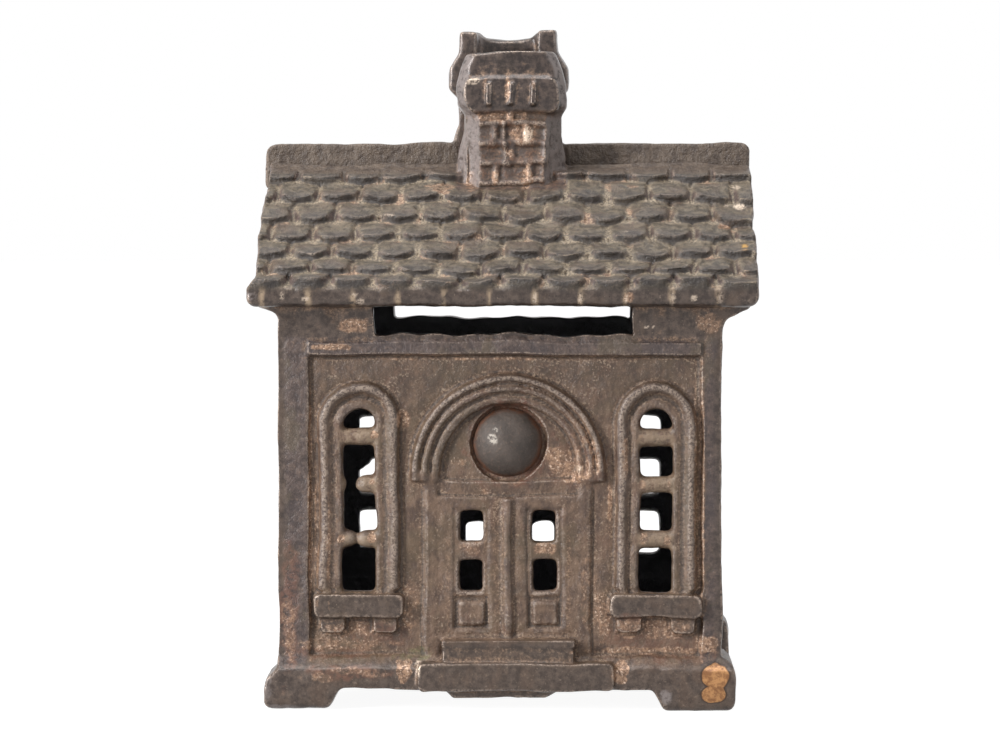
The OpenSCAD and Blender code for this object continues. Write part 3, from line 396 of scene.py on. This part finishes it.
def cast_piece(node, body, slot, voxel, soften, lumps, seed):
    """A soft sand-cast copy of a CAD node, with its relief written on its vertices."""
    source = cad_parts[node]
    low, high = (np.array(corner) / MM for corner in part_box(node))
    piece = bpy.data.objects.new(node + "_surface", source.data.copy())
    bpy.context.scene.collection.objects.link(piece)
    piece.data.materials.clear()
    piece.data = shaped(piece, "REMESH", mode="VOXEL", voxel_size=voxel * MM)
    piece.data = shaped(piece, "SMOOTH", factor=0.5, iterations=soften)

    if slot == "iron":
        place_points(piece.data, rounder_openings(piece, OPENING_ROUNDS[node]))
        points = rounder_shingles(wider_surrounds(filled_notches(deepened(piece, GIVEN_BACK))))
        place_points(piece.data, uneven_lights(points, FRONT_NICKS if node == "front_half" else BACK_NICKS))
    points = points_of(piece.data)
    normals = normals_of(piece.data)
    bulge = lattice_noise(points, 2.3, seed)[:, 0] + 0.5 * lattice_noise(points, 0.9, seed + 1)[:, 0]
    wander = lattice_noise(points, 6.0, seed + 2, 3) * (1 + ramp(points[:, 2:], EAVE_Z, EAVE_TOP + 1))
    on_roof = ramp(points[:, 2:], EAVE_TOP, EAVE_TOP + 1) * (points[:, 2:] < RIDGE_Z - 2)
    wander = wander + on_roof * lattice_noise(points, 1.9, seed + 3, 3)
    points = wavy_slot(points + lumps * (BULGE * bulge[:, None] * normals + WANDER * wander), lumps)
    place_points(piece.data, np.clip(points, low, high))

    normals = normals_of(piece.data)
    for name, rounds, full in RELIEFS:
        write_attribute(piece.data, name, relief(piece, normals, rounds) / full)
    # How much each face turns down the roof's slope, which the material uses for painted shade under the
    # shingles' lower edges
    off_ridge = 1 - ramp(points[:, 2], RIDGE_Z - 1.8, RIDGE_Z - 1.2)
    write_attribute(piece.data, "lip", (normals * down_slope(points)[1]).sum(1) * off_ridge)
    piece.data.shade_smooth()
    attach(piece, body)
    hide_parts(node)
    return piece


def boxes_about(middles, half, low, high):
    """Boxes of a front view round these places across, given as left, right, low and high."""
    return [(middle - half, middle + half, low, high) for middle in middles]


def box_mask(points, boxes, soft):
    """1 inside any of the boxes, 0 outside them and smooth between."""
    across, up = points[:, 0], points[:, 2]
    mask = np.zeros(len(points))
    for left, right, low, high in boxes:
        inside = np.minimum(np.minimum(across - left, right - across), np.minimum(up - low, high - up))
        mask = np.maximum(mask, ramp(inside, -soft, soft))
    return mask


def spot_mask(points, spots, rag=1.0):
    """Ragged round spots of a front view, given as centre, half width, half height and strength."""
    ragged = 0.35 * lattice_noise(points, 0.8, RAG_SEED)[:, 0]
    ragged = (ragged + 0.25 * lattice_noise(points, 2.2, RAG_SEED + 1)[:, 0]) * rag
    mask = np.zeros(len(points))
    for x, z, half_w, half_h, strength in spots:
        reach = np.hypot((points[:, 0] - x) / half_w, (points[:, 2] - z) / half_h) + ragged
        mask = np.maximum(mask, strength * (1 - ramp(reach, 0.7, 1.15)))
    return mask


def inside_mask(points):
    """1 on the surfaces of the hollow and deep in the openings."""
    x, y, z = np.abs(points[:, 0]), np.abs(points[:, 1]), points[:, 2]
    room = (x < ROOM_X + 0.3) & (y < ROOM_Y + 0.3) & (z > FLOOR_TOP - 0.3) & (z < EAVE_TOP + 1.5)
    roof = (x < ROOF_SPACE_X + 0.3) & (z > EAVE_TOP) & (z < ROOF_SPACE_TOP - ROOF_SLOPE * y + 0.4)
    flue = (np.abs(points[:, 0] - MIDDLE_X) < FLUE_HALF) & (y < FLUE_HALF) & (z > FLUE_LOW) & (z < FLUE_TOP)
    reveal = (x < ROOM_X) & (z > 14) & (z < EAVE_Z + 0.2)
    pocket = np.hypot(points[:, 0] - MIDDLE_X, z - BOLT_Z) < POCKET_R + 3
    depth = np.where(reveal & ~pocket, 1 - ramp(y, 22.9, 23.6), 0)
    return np.maximum(depth, room | roof | flue)


def patina(piece, front):
    """Where the casting is dark and smooth, dusty, rubbed bare, rusty or unseen, and where highlights and rim
    reflections are painted.
    """
    mesh = piece.data
    points = points_of(mesh)
    normals = normals_of(mesh)
    z = points[:, 2]
    from_chimney = np.abs(points[:, 0] - CHIMNEY_X)
    facing_side = np.abs(normals[:, 0])
    drift = lattice_noise(points, 3.0, FRONT_DRIFT_SEED if front else BACK_DRIFT_SEED, 3)
    shifted = points + 0.35 * drift
    outside = 1 - inside_mask(points)
    on_front = ramp(-normals[:, 1], 0.1, 0.35) * outside if front else 0 * outside

    far = 2 * HALF_WIDTH
    dark_boxes = boxes_about(WINDOW_XS, SILL_HALF, SILL_LOW, SILL_TOP)
    dark_boxes += boxes_about([MIDDLE_X], UPPER_STEP_HALF - 0.3, STEP_TOP, DOOR_LOW - 0.2)
    for middle in WINDOW_XS:
        dark_boxes += boxes_about([middle - BRACKET_X, middle + BRACKET_X], BRACKET_HALF, BRACKET_LOW, SILL_LOW)
    dark_boxes += [
        LOWER_STEP,
        (-far, far, -1, BASE_TOP - 0.9),
        (-far, far, SLOT_LOW, EAVE_TOP),
        (-far, WALL_X - HALF_WIDTH + 0.9, BASE_TOP, EAVE_Z),
        (WALL_X + HALF_WIDTH - 0.9, far, BASE_TOP, EAVE_Z),
    ]
    cap = 0.95 * ramp(z, CAP_LOW, CAP_LOW + 0.6)
    write_attribute(mesh, "dark", np.maximum(box_mask(shifted, dark_boxes, 0.5), cap))
    write_attribute(mesh, "cap", cap)
    write_attribute(mesh, "upper", ramp(shifted[:, 2], UPPER_FROM, UPPER_FULL))

    rubbed = [mark for marks in RUBBED.values() for mark in marks]
    for name, marks in (
        ("rubbed", rubbed), ("painted_highlight", PAINTED_HIGHLIGHTS), ("chip", CHIPS), ("ochre", OCHRE),
        ("rust", RUST), ("moss", MOSS), ("dusty", DUSTY),
    ):
        write_attribute(mesh, name, spot_mask(points, marks, CHIP_RAG if name == "chip" else 1.0) * on_front)

    chimney = (1 - ramp(from_chimney, 7.3, 7.9)) * ramp(z, CHIMNEY_LOW, CHIMNEY_LOW + 0.6)
    chimney = np.maximum(chimney, ramp(z, 75.9, 76.2))
    verge = ramp(facing_side, 0.45, 0.75)
    write_attribute(mesh, "roof", ramp(z, EAVE_Z + 1.5, EAVE_Z + 3) * (1 - chimney) * (1 - verge))
    # Painted reflection on the chimney's slanted corners, joined with the painted rim highlights
    corners = chimney * ramp(facing_side, 0.3, 0.6) * ramp(from_chimney, 3.8, 4.6)
    write_attribute(mesh, "pale", np.maximum(0.75 * corners, spot_mask(points, PAINTED_RIM_LIGHTS) * on_front) * outside)
    write_attribute(mesh, "inside", 1 - outside)
    write_attribute(mesh, "ridge", ramp(z, RIDGE_Z - 1.8, RIDGE_Z - 1.2) * (1 - chimney))
    write_attribute(mesh, "frame", 1 - box_mask(shifted, [PANEL], 0.4))
    brick = (1 - ramp(from_chimney, 6.2, 7.4)) * ramp(z, CHIMNEY_LOW - 0.5, CHIMNEY_LOW + 1.5)
    brick = brick * (1 - ramp(z, CAP_LOW - 0.1, CAP_LOW + 0.4))
    write_attribute(mesh, "brick", brick)

    above, below, across = shingle_places(points)
    write_attribute(mesh, "above_lip", above)
    write_attribute(mesh, "below_lip", below)
    write_attribute(mesh, "lens", 1 - np.minimum(across, 1) ** 2)
    write_attribute(mesh, "gap", ramp(across, 0.9, 1.02))

    tick = (points[:, 0] - TICK_X) / TICK_PITCH
    off_tick = np.abs(tick - np.round(tick)) * TICK_PITCH
    off_tick = off_tick + 0.2 * drift[:, 0] + 0.25 * lattice_noise(points, 1.1, TICK_SEED)[:, 0]
    on_eave = ramp(z, EAVE_Z - 0.6, EAVE_Z) * (1 - ramp(z, EAVE_TOP, EAVE_TOP + 0.8))
    # Tan on the window bars, partly their own colour and partly painted light
    bars = [box for bar in BAR_ZS for box in boxes_about(WINDOW_XS, BAR_HALF, bar - 1, bar + 1)]
    tan = np.maximum((1 - ramp(off_tick, 0.1, 0.5)) * on_eave, 0.55 * box_mask(shifted, bars, 0.4))
    write_attribute(mesh, "tan", tan * outside)


class Nodes:
    """Short calls for a material's node tree."""

    def __init__(self, material):
        material.use_nodes = True
        self.tree = material.node_tree
        self.shader = self.tree.nodes["Principled BSDF"]

    def add(self, kind, **settings):
        node = self.tree.nodes.new(kind)
        for key, value in settings.items():
            setattr(node, key, value)
        return node

    def link(self, source, target):
        self.tree.links.new(source, target)

    def feed(self, socket, value):
        if isinstance(value, bpy.types.NodeSocket):
            self.link(value, socket)
        elif value is not None:
            socket.default_value = value

    def attribute(self, name):
        return self.add("ShaderNodeAttribute", attribute_name=name).outputs["Fac"]

    def noise(self, size, detail=3.0, rough=0.55, squeeze=(1, 1, 1)):
        """Noise with features of this size in millimetres, from 0 to 1, longer where squeeze is small."""
        place = self.add("ShaderNodeTexCoord").outputs["Object"]
        if squeeze != (1, 1, 1):
            scaled = self.add("ShaderNodeVectorMath", operation="MULTIPLY")
            self.link(place, scaled.inputs[0])
            scaled.inputs[1].default_value = squeeze
            place = scaled.outputs["Vector"]
        node = self.add("ShaderNodeTexNoise")
        self.link(place, node.inputs["Vector"])
        node.inputs["Scale"].default_value = 1 / (size * MM)
        node.inputs["Detail"].default_value = detail
        node.inputs["Roughness"].default_value = rough
        return node.outputs["Fac"]

    def math(self, operation, a, b=None, clamp=False):
        node = self.add("ShaderNodeMath", operation=operation, use_clamp=clamp)
        self.feed(node.inputs[0], a)
        self.feed(node.inputs[1], b)
        return node.outputs[0]

    def product(self, first, *others):
        for other in others:
            first = self.math("MULTIPLY", first, other)
        return first

    def less(self, value, share=1.0):
        """1 minus this share of the value."""
        if share != 1:
            value = self.math("MULTIPLY", value, share)
        return self.math("SUBTRACT", 1.0, value)

    def step(self, value, low, high, top=1.0):
        """0 below low, top above high and smooth between them."""
        node = self.add("ShaderNodeMapRange", interpolation_type="SMOOTHSTEP")
        self.feed(node.inputs["Value"], value)
        node.inputs["From Min"].default_value = low
        node.inputs["From Max"].default_value = high
        node.inputs["To Max"].default_value = top
        return node.outputs["Result"]

    def mix(self, share, a, b):
        node = self.add("ShaderNodeMix", data_type="RGBA")
        self.feed(node.inputs["Factor"], share)
        self.feed(node.inputs["A"], a)
        self.feed(node.inputs["B"], b)
        return node.outputs["Result"]

    def mix_value(self, share, a, b):
        node = self.add("ShaderNodeMix", data_type="FLOAT")
        self.feed(node.inputs["Factor"], share)
        self.feed(node.inputs["A"], a)
        self.feed(node.inputs["B"], b)
        return node.outputs["Result"]

    def bump(self, height, distance, strength=1.0, below=None):
        node = self.add("ShaderNodeBump")
        self.link(height, node.inputs["Height"])
        node.inputs["Distance"].default_value = distance * MM
        node.inputs["Strength"].default_value = strength
        self.feed(node.inputs["Normal"], below)
        return node.outputs["Normal"]


def rgb(red, green, blue):
    """A colour as it shows on screen, from 0 to 255, in the renderer's linear values."""
    def linear(part):
        part /= 255
        return part / 12.92 if part <= 0.04045 else ((part + 0.055) / 1.055) ** 2.4
    return (linear(red), linear(green), linear(blue), 1.0)


def casting_material():
    material = bpy.data.materials.new("Worn cast iron")
    n = Nodes(material)
    edge, fine, proud, lip = (n.attribute(name) for name in ("edge", "fine", "proud", "lip"))
    dark, roof, inside, brick = (n.attribute(name) for name in ("dark", "roof", "inside", "brick"))
    grain, grit = n.noise(0.3, 2, 0.6), n.noise(0.9, 4, 0.7)
    streak = n.noise(1.2, 5, 0.68, (1, 1, 0.55))
    cloud, patch = n.noise(7.0, 3, 0.6), n.noise(4.0, 4, 0.65, (1, 1, 0.6))

    # Brown wall patina with upright streaks and olive clouds, greyer and lilac where hands have smoothed it
    wall = n.mix(n.step(streak, 0.36, 0.64), rgb(78, 60, 50), rgb(120, 97, 80))
    wall = n.mix(n.step(cloud, 0.47, 0.62, 0.5), wall, rgb(94, 79, 59))
    wall = n.mix(n.step(patch, 0.55, 0.66, 0.5), wall, rgb(104, 76, 62))
    wall = n.mix(n.step(proud, 0.2, 0.9, 0.6), wall, rgb(86, 74, 71))
    wall = n.mix(n.product(n.attribute("upper"), n.step(grit, 0.3, 0.6, 0.6)), wall, rgb(68, 56, 48))
    frame_share = n.attribute("frame")
    framing = n.mix(n.step(grit, 0.36, 0.64), rgb(66, 54, 51), rgb(98, 83, 77))
    framing = n.mix(n.step(patch, 0.5, 0.62, 0.5), framing, rgb(96, 84, 68))
    framing = n.mix(n.step(cloud, 0.54, 0.64, 0.4), framing, rgb(66, 58, 60))
    wall = n.mix(frame_share, wall, framing)
    roofing = n.mix(n.step(grit, 0.38, 0.62), rgb(72, 64, 54), rgb(120, 108, 92))
    roofing = n.mix(n.step(patch, 0.48, 0.62, 0.5), roofing, rgb(94, 78, 69))
    ridge = n.mix(n.step(streak, 0.36, 0.64), rgb(72, 60, 52), rgb(102, 88, 76))
    roofing = n.mix(n.attribute("ridge"), roofing, ridge)
    # Painted shade on the lower middle of each shingle, just above its lower edge
    reach = n.math("SUBTRACT", n.math("MULTIPLY", n.attribute("lens"), 2.9), n.attribute("above_lip"))
    lens = n.step(n.math("ADD", reach, n.math("MULTIPLY", grit, 1.6)), 0.7, 2.4, 0.8)
    roofing = n.mix(lens, roofing, n.mix(n.step(grit, 0.4, 0.6), rgb(54, 47, 44), rgb(92, 83, 75)))
    foot = n.step(n.math("ADD", n.attribute("below_lip"), n.math("MULTIPLY", grit, 1.4)), 1.4, 0.75, 0.8)
    foot = n.math("MAXIMUM", foot, n.math("MULTIPLY", n.attribute("gap"), 0.8))
    light_dust = n.mix(n.step(grain, 0.4, 0.62), rgb(106, 94, 79), rgb(172, 155, 132))
    copper_dust = n.mix(n.step(grain, 0.42, 0.6), rgb(138, 104, 84), rgb(214, 176, 146))
    light_dust = n.mix(n.step(patch, 0.54, 0.62, 0.7), light_dust, copper_dust)
    roofing = n.mix(foot, roofing, light_dust)
    colour = n.mix(roof, wall, roofing)
    smooth_iron = n.mix(n.step(grit, 0.34, 0.66), rgb(60, 50, 45), rgb(94, 81, 73))
    smooth_iron = n.mix(n.step(patch, 0.5, 0.64, 0.5), smooth_iron, rgb(98, 80, 68))
    smooth_iron = n.mix(n.step(grain, 0.66, 0.74, 0.5), smooth_iron, rgb(150, 134, 120))
    cap_iron = n.mix(n.step(grit, 0.36, 0.62), rgb(44, 37, 35), rgb(82, 70, 64))
    smooth_iron = n.mix(n.attribute("cap"), smooth_iron, cap_iron)
    colour = n.mix(n.math("MULTIPLY", dark, 0.9), colour, smooth_iron)

    # Dust and fine rust in the hollows, in grains, and light dust along the foot of each course of shingles
    depth = n.math("ADD", n.math("MULTIPLY", fine, -0.6), n.math("MULTIPLY", proud, -0.4))
    depth = n.math("ADD", depth, n.math("MULTIPLY", grit, 1.4))
    hollow = n.product(n.step(depth, 0.75, 1.35, 0.8), n.less(roof))
    hollow = n.math("MAXIMUM", hollow, n.product(n.attribute("dusty"), n.step(grit, 0.36, 0.56)))
    colour = n.mix(hollow, colour, n.mix(n.step(grain, 0.4, 0.62), rgb(90, 69, 56), rgb(160, 131, 107)))
    # Tan streaks on the eave, and on the window bars a tan that is partly their own colour and partly painted
    # light
    colour = n.mix(n.product(n.attribute("tan"), n.step(grit, 0.34, 0.52)), colour, rgb(164, 143, 120))

    # Copper-coloured granules, thickest in patches and in the hollows
    often = n.math("MULTIPLY", n.math("ADD", n.step(patch, 0.44, 0.68), n.step(proud, 0.15, -0.5)), 0.5)
    granule = n.step(n.math("ADD", grain, n.math("MULTIPLY", often, 0.22)), 0.62, 0.75, 0.65)
    granule = n.product(granule, n.less(dark, 0.8), n.less(n.step(proud, 0.4, 0.9)))
    granule = n.product(granule, n.less(roof, 0.6), n.less(frame_share, 0.75))
    colour = n.mix(granule, colour, n.mix(n.step(grit, 0.42, 0.6), rgb(122, 99, 82), rgb(168, 148, 128)))

    # Brickwork of the chimney, with copper showing
    bricks = n.product(brick, n.step(grit, 0.44, 0.62, 0.6))
    colour = n.mix(n.math("MULTIPLY", brick, 0.5), colour, rgb(84, 68, 58))
    colour = n.mix(bricks, colour, n.mix(n.step(grain, 0.4, 0.6), rgb(92, 66, 52), rgb(136, 100, 76)))

    # Local marks
    colour = n.mix(n.product(n.attribute("rust"), n.step(grit, 0.34, 0.58, 0.8)), colour, rgb(116, 78, 62))
    rubbed = n.step(n.math("ADD", n.attribute("rubbed"), n.math("MULTIPLY", grit, 1.5)), 0.85, 1.6, 0.85)
    rubbed = n.product(rubbed, n.step(n.attribute("rubbed"), 0.02, 0.2))
    copper = n.mix(n.step(n.noise(0.5, 3, 0.7), 0.36, 0.64), rgb(106, 82, 67), rgb(178, 144, 118))
    colour = n.mix(rubbed, colour, n.mix(n.step(grain, 0.56, 0.68, 0.8), copper, rgb(240, 210, 186)))
    chip = n.attribute("chip")
    colour = n.mix(n.step(chip, 0.02, 0.3), colour, rgb(58, 42, 32))
    bare_chip = n.mix(n.step(grit, 0.4, 0.6), rgb(136, 92, 56), rgb(186, 136, 88))
    colour = n.mix(n.step(chip, 0.3, 0.6), colour, bare_chip)
    colour = n.mix(n.attribute("ochre"), colour, rgb(196, 152, 84))
    colour = n.mix(n.product(n.attribute("moss"), n.step(grit, 0.36, 0.6, 0.6)), colour, rgb(112, 110, 76))
    # Painted rim highlights and painted reflection on the chimney's corners
    colour = n.mix(n.product(n.attribute("pale"), n.step(grit, 0.3, 0.55)), colour, rgb(146, 136, 133))

    # Painted shade under the shingles' lower edges and in creases, lighter edges that are partly wear and
    # partly painted highlight, small painted highlights, and the grey of the inside
    shade = n.product(n.step(lip, 0.3, 0.7), n.less(brick), roof, n.step(n.attribute("lens"), 0.1, 0.6))
    crease = n.math("MAXIMUM", n.step(edge, -0.2, -1.0, 0.7), n.step(fine, -0.35, -1.1, 0.5))
    shade = n.math("MAXIMUM", n.math("MULTIPLY", shade, 0.8), n.product(crease, n.less(roof)))
    colour = n.mix(shade, colour, rgb(44, 37, 34))
    # Lighter edges: partly wear, partly painted highlight
    worn = n.product(n.step(edge, 0.2, 0.9, 0.85), n.step(grain, 0.38, 0.58), n.less(roof, 0.75))
    colour = n.mix(worn, colour, rgb(166, 147, 132))
    # Painted highlights, near white, where the marks put them
    painted_highlight = n.product(n.attribute("painted_highlight"), n.step(grain, 0.34, 0.56, 0.85))
    colour = n.mix(painted_highlight, colour, rgb(236, 214, 192))
    colour = n.mix(inside, colour, rgb(128, 127, 132))
    n.link(colour, n.shader.inputs["Base Color"])

    rough = n.mix_value(dark, n.mix_value(grit, 0.28, 0.6), n.mix_value(grain, 0.2, 0.44))
    rough = n.mix_value(hollow, rough, 0.65)
    rough = n.mix_value(n.math("MAXIMUM", worn, painted_highlight), rough, 0.32)
    n.link(rough, n.shader.inputs["Roughness"])
    metal = n.math("MAXIMUM", n.math("MULTIPLY", dark, 0.25), n.math("MULTIPLY", rubbed, 0.5))
    n.link(n.product(metal, n.less(inside)), n.shader.inputs["Metallic"])
    n.shader.inputs["Specular IOR Level"].default_value = 0.5

    rough_share = n.math("ADD", n.less(dark, 0.7), n.math("MULTIPLY", roof, 0.7))
    coarse = n.bump(n.math("MULTIPLY", grit, rough_share), 0.3, 0.75)
    n.link(n.bump(n.math("MULTIPLY", grain, rough_share), 0.07, 0.6, coarse), n.shader.inputs["Normal"])
    return material


def fastener_material():
    material = bpy.data.materials.new("Tarnished steel")
    n = Nodes(material)
    edge, rim = n.attribute("edge"), n.attribute("rim")
    grain, cloud = n.noise(0.5, 5, 0.65), n.noise(2.6, 3, 0.6)
    colour = n.mix(n.step(cloud, 0.35, 0.65), rgb(68, 60, 55), rgb(88, 78, 72))
    colour = n.mix(n.step(grain, 0.52, 0.7, 0.5), colour, rgb(116, 98, 86))
    colour = n.mix(n.product(rim, n.step(grain, 0.3, 0.55, 0.85)), colour, rgb(104, 66, 44))
    colour = n.mix(n.step(edge, 0.4, 1.4, 0.4), colour, rgb(126, 118, 110))
    # Painted highlights, near white, on the dome
    colour = n.mix(n.product(n.attribute("painted_highlight"), n.step(grain, 0.42, 0.56)), colour, rgb(250, 240, 226))
    n.link(colour, n.shader.inputs["Base Color"])
    n.shader.inputs["Metallic"].default_value = 0.2
    n.shader.inputs["Specular IOR Level"].default_value = 0.5
    n.link(n.mix_value(grain, 0.46, 0.7), n.shader.inputs["Roughness"])
    n.link(n.bump(grain, 0.12, 0.8), n.shader.inputs["Normal"])
    return material


def rust_rim(piece):
    """Rust round the bolt's head and, more faintly, on what lies behind, and small painted highlights on its
    dome.
    """
    points = points_of(piece.data)
    reach = np.hypot(points[:, 0] - MIDDLE_X, points[:, 2] - BOLT_Z)
    reach = reach + 0.3 * lattice_noise(points, 1.2, RIM_SEED)[:, 0]
    behind = ramp(points[:, 1], 0, 1)
    write_attribute(piece.data, "rim", ramp(reach, HEAD_R - 0.75, HEAD_R - 0.1) * (1 - 0.65 * behind))
    write_attribute(piece.data, "painted_highlight", spot_mask(points, PAINTED_HEAD_HIGHLIGHTS) * ramp(-points[:, 1], 20, 21))


def studio():
    """Pale floor and world that show white to the camera, with soft lamps from the front."""
    bpy.ops.mesh.primitive_plane_add(size=6)
    floor = bpy.context.object
    floor.name = "studio_floor"
    material = bpy.data.materials.new("Pale floor")
    n = Nodes(material)
    paths = n.add("ShaderNodeLightPath")
    seen = n.math("MAXIMUM", paths.outputs["Is Camera Ray"], paths.outputs["Is Glossy Ray"])
    seen = n.math("MAXIMUM", seen, paths.outputs["Is Transmission Ray"])
    n.shader.inputs["Base Color"].default_value = (FLOOR_GREY, FLOOR_GREY, FLOOR_GREY, 1)
    n.shader.inputs["Roughness"].default_value = 0.9
    n.shader.inputs["Specular IOR Level"].default_value = 0.1
    n.shader.inputs["Emission Color"].default_value = (1, 1, 1, 1)
    n.link(n.math("MULTIPLY", seen, FLOOR_GLOW), n.shader.inputs["Emission Strength"])
    floor.data.materials.append(material)

    world = bpy.data.worlds.new("Studio")
    bpy.context.scene.world = world
    world.use_nodes = True
    tree = world.node_tree
    paths = tree.nodes.new("ShaderNodeLightPath")
    shown = None
    for ray in ("Is Camera Ray", "Is Glossy Ray", "Is Transmission Ray"):
        if shown is None:
            shown = paths.outputs[ray]
            continue
        either = tree.nodes.new("ShaderNodeMath")
        either.operation = "MAXIMUM"
        tree.links.new(shown, either.inputs[0])
        tree.links.new(paths.outputs[ray], either.inputs[1])
        shown = either.outputs[0]
    level = tree.nodes.new("ShaderNodeMapRange")
    level.inputs["To Min"].default_value = WORLD_LIGHT
    level.inputs["To Max"].default_value = 1.0
    tree.links.new(shown, level.inputs["Value"])
    background = tree.nodes["Background"]
    background.inputs["Color"].default_value = (1, 1, 1, 1)
    tree.links.new(level.outputs["Result"], background.inputs["Strength"])

    for name, place, width, height, power in LAMPS:
        lamp = bpy.data.lights.new(name, "AREA")
        lamp.shape = "RECTANGLE"
        lamp.size, lamp.size_y = width, height
        lamp.energy = power
        holder = bpy.data.objects.new(name, lamp)
        holder.location = place
        aim = Vector(LAMP_AIM) - Vector(place)
        holder.rotation_euler = aim.to_track_quat("-Z", "Y").to_euler()
        bpy.context.scene.collection.objects.link(holder)


def photo_camera():
    data = bpy.data.cameras.new("photo_camera")
    data.sensor_width = SENSOR_WIDTH
    data.lens = CAMERA_LENS
    data.clip_start = 0.01
    camera = bpy.data.objects.new("photo_camera", data)
    camera.location = CAMERA_PLACE
    camera.rotation_euler = (math.radians(90 - CAMERA_TILT), 0, math.radians(CAMERA_TURN))
    bpy.context.scene.collection.objects.link(camera)
    bpy.context.scene.camera = camera


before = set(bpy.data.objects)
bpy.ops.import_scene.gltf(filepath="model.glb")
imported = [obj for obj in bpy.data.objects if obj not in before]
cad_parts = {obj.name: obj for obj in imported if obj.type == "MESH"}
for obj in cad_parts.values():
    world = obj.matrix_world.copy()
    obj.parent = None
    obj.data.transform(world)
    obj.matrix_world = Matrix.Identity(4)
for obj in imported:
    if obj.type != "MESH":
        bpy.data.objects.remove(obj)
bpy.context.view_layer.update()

iron = casting_material()
front = cast_piece("front_half", "front_half", "iron", CAST_VOXEL, 1, 1.0, SEEDS["front_half"])
back = cast_piece("back_half", "back_half", "iron", CAST_VOXEL, 1, 1.0, SEEDS["back_half"])
for piece, is_front in ((front, True), (back, False)):
    patina(piece, is_front)
    piece.data.materials.append(iron)

steel = fastener_material()
for node, body in (("tie_bolt", "front_half"), ("washer", "washer"), ("square_nut", "square_nut")):
    piece = cast_piece(node, body, "fastener", STEEL_VOXEL, 2, 0.25, SEEDS[node])
    rust_rim(piece)
    piece.data.materials.append(steel)

studio()
photo_camera()
bpy.context.scene.view_settings.view_transform = "Standard"
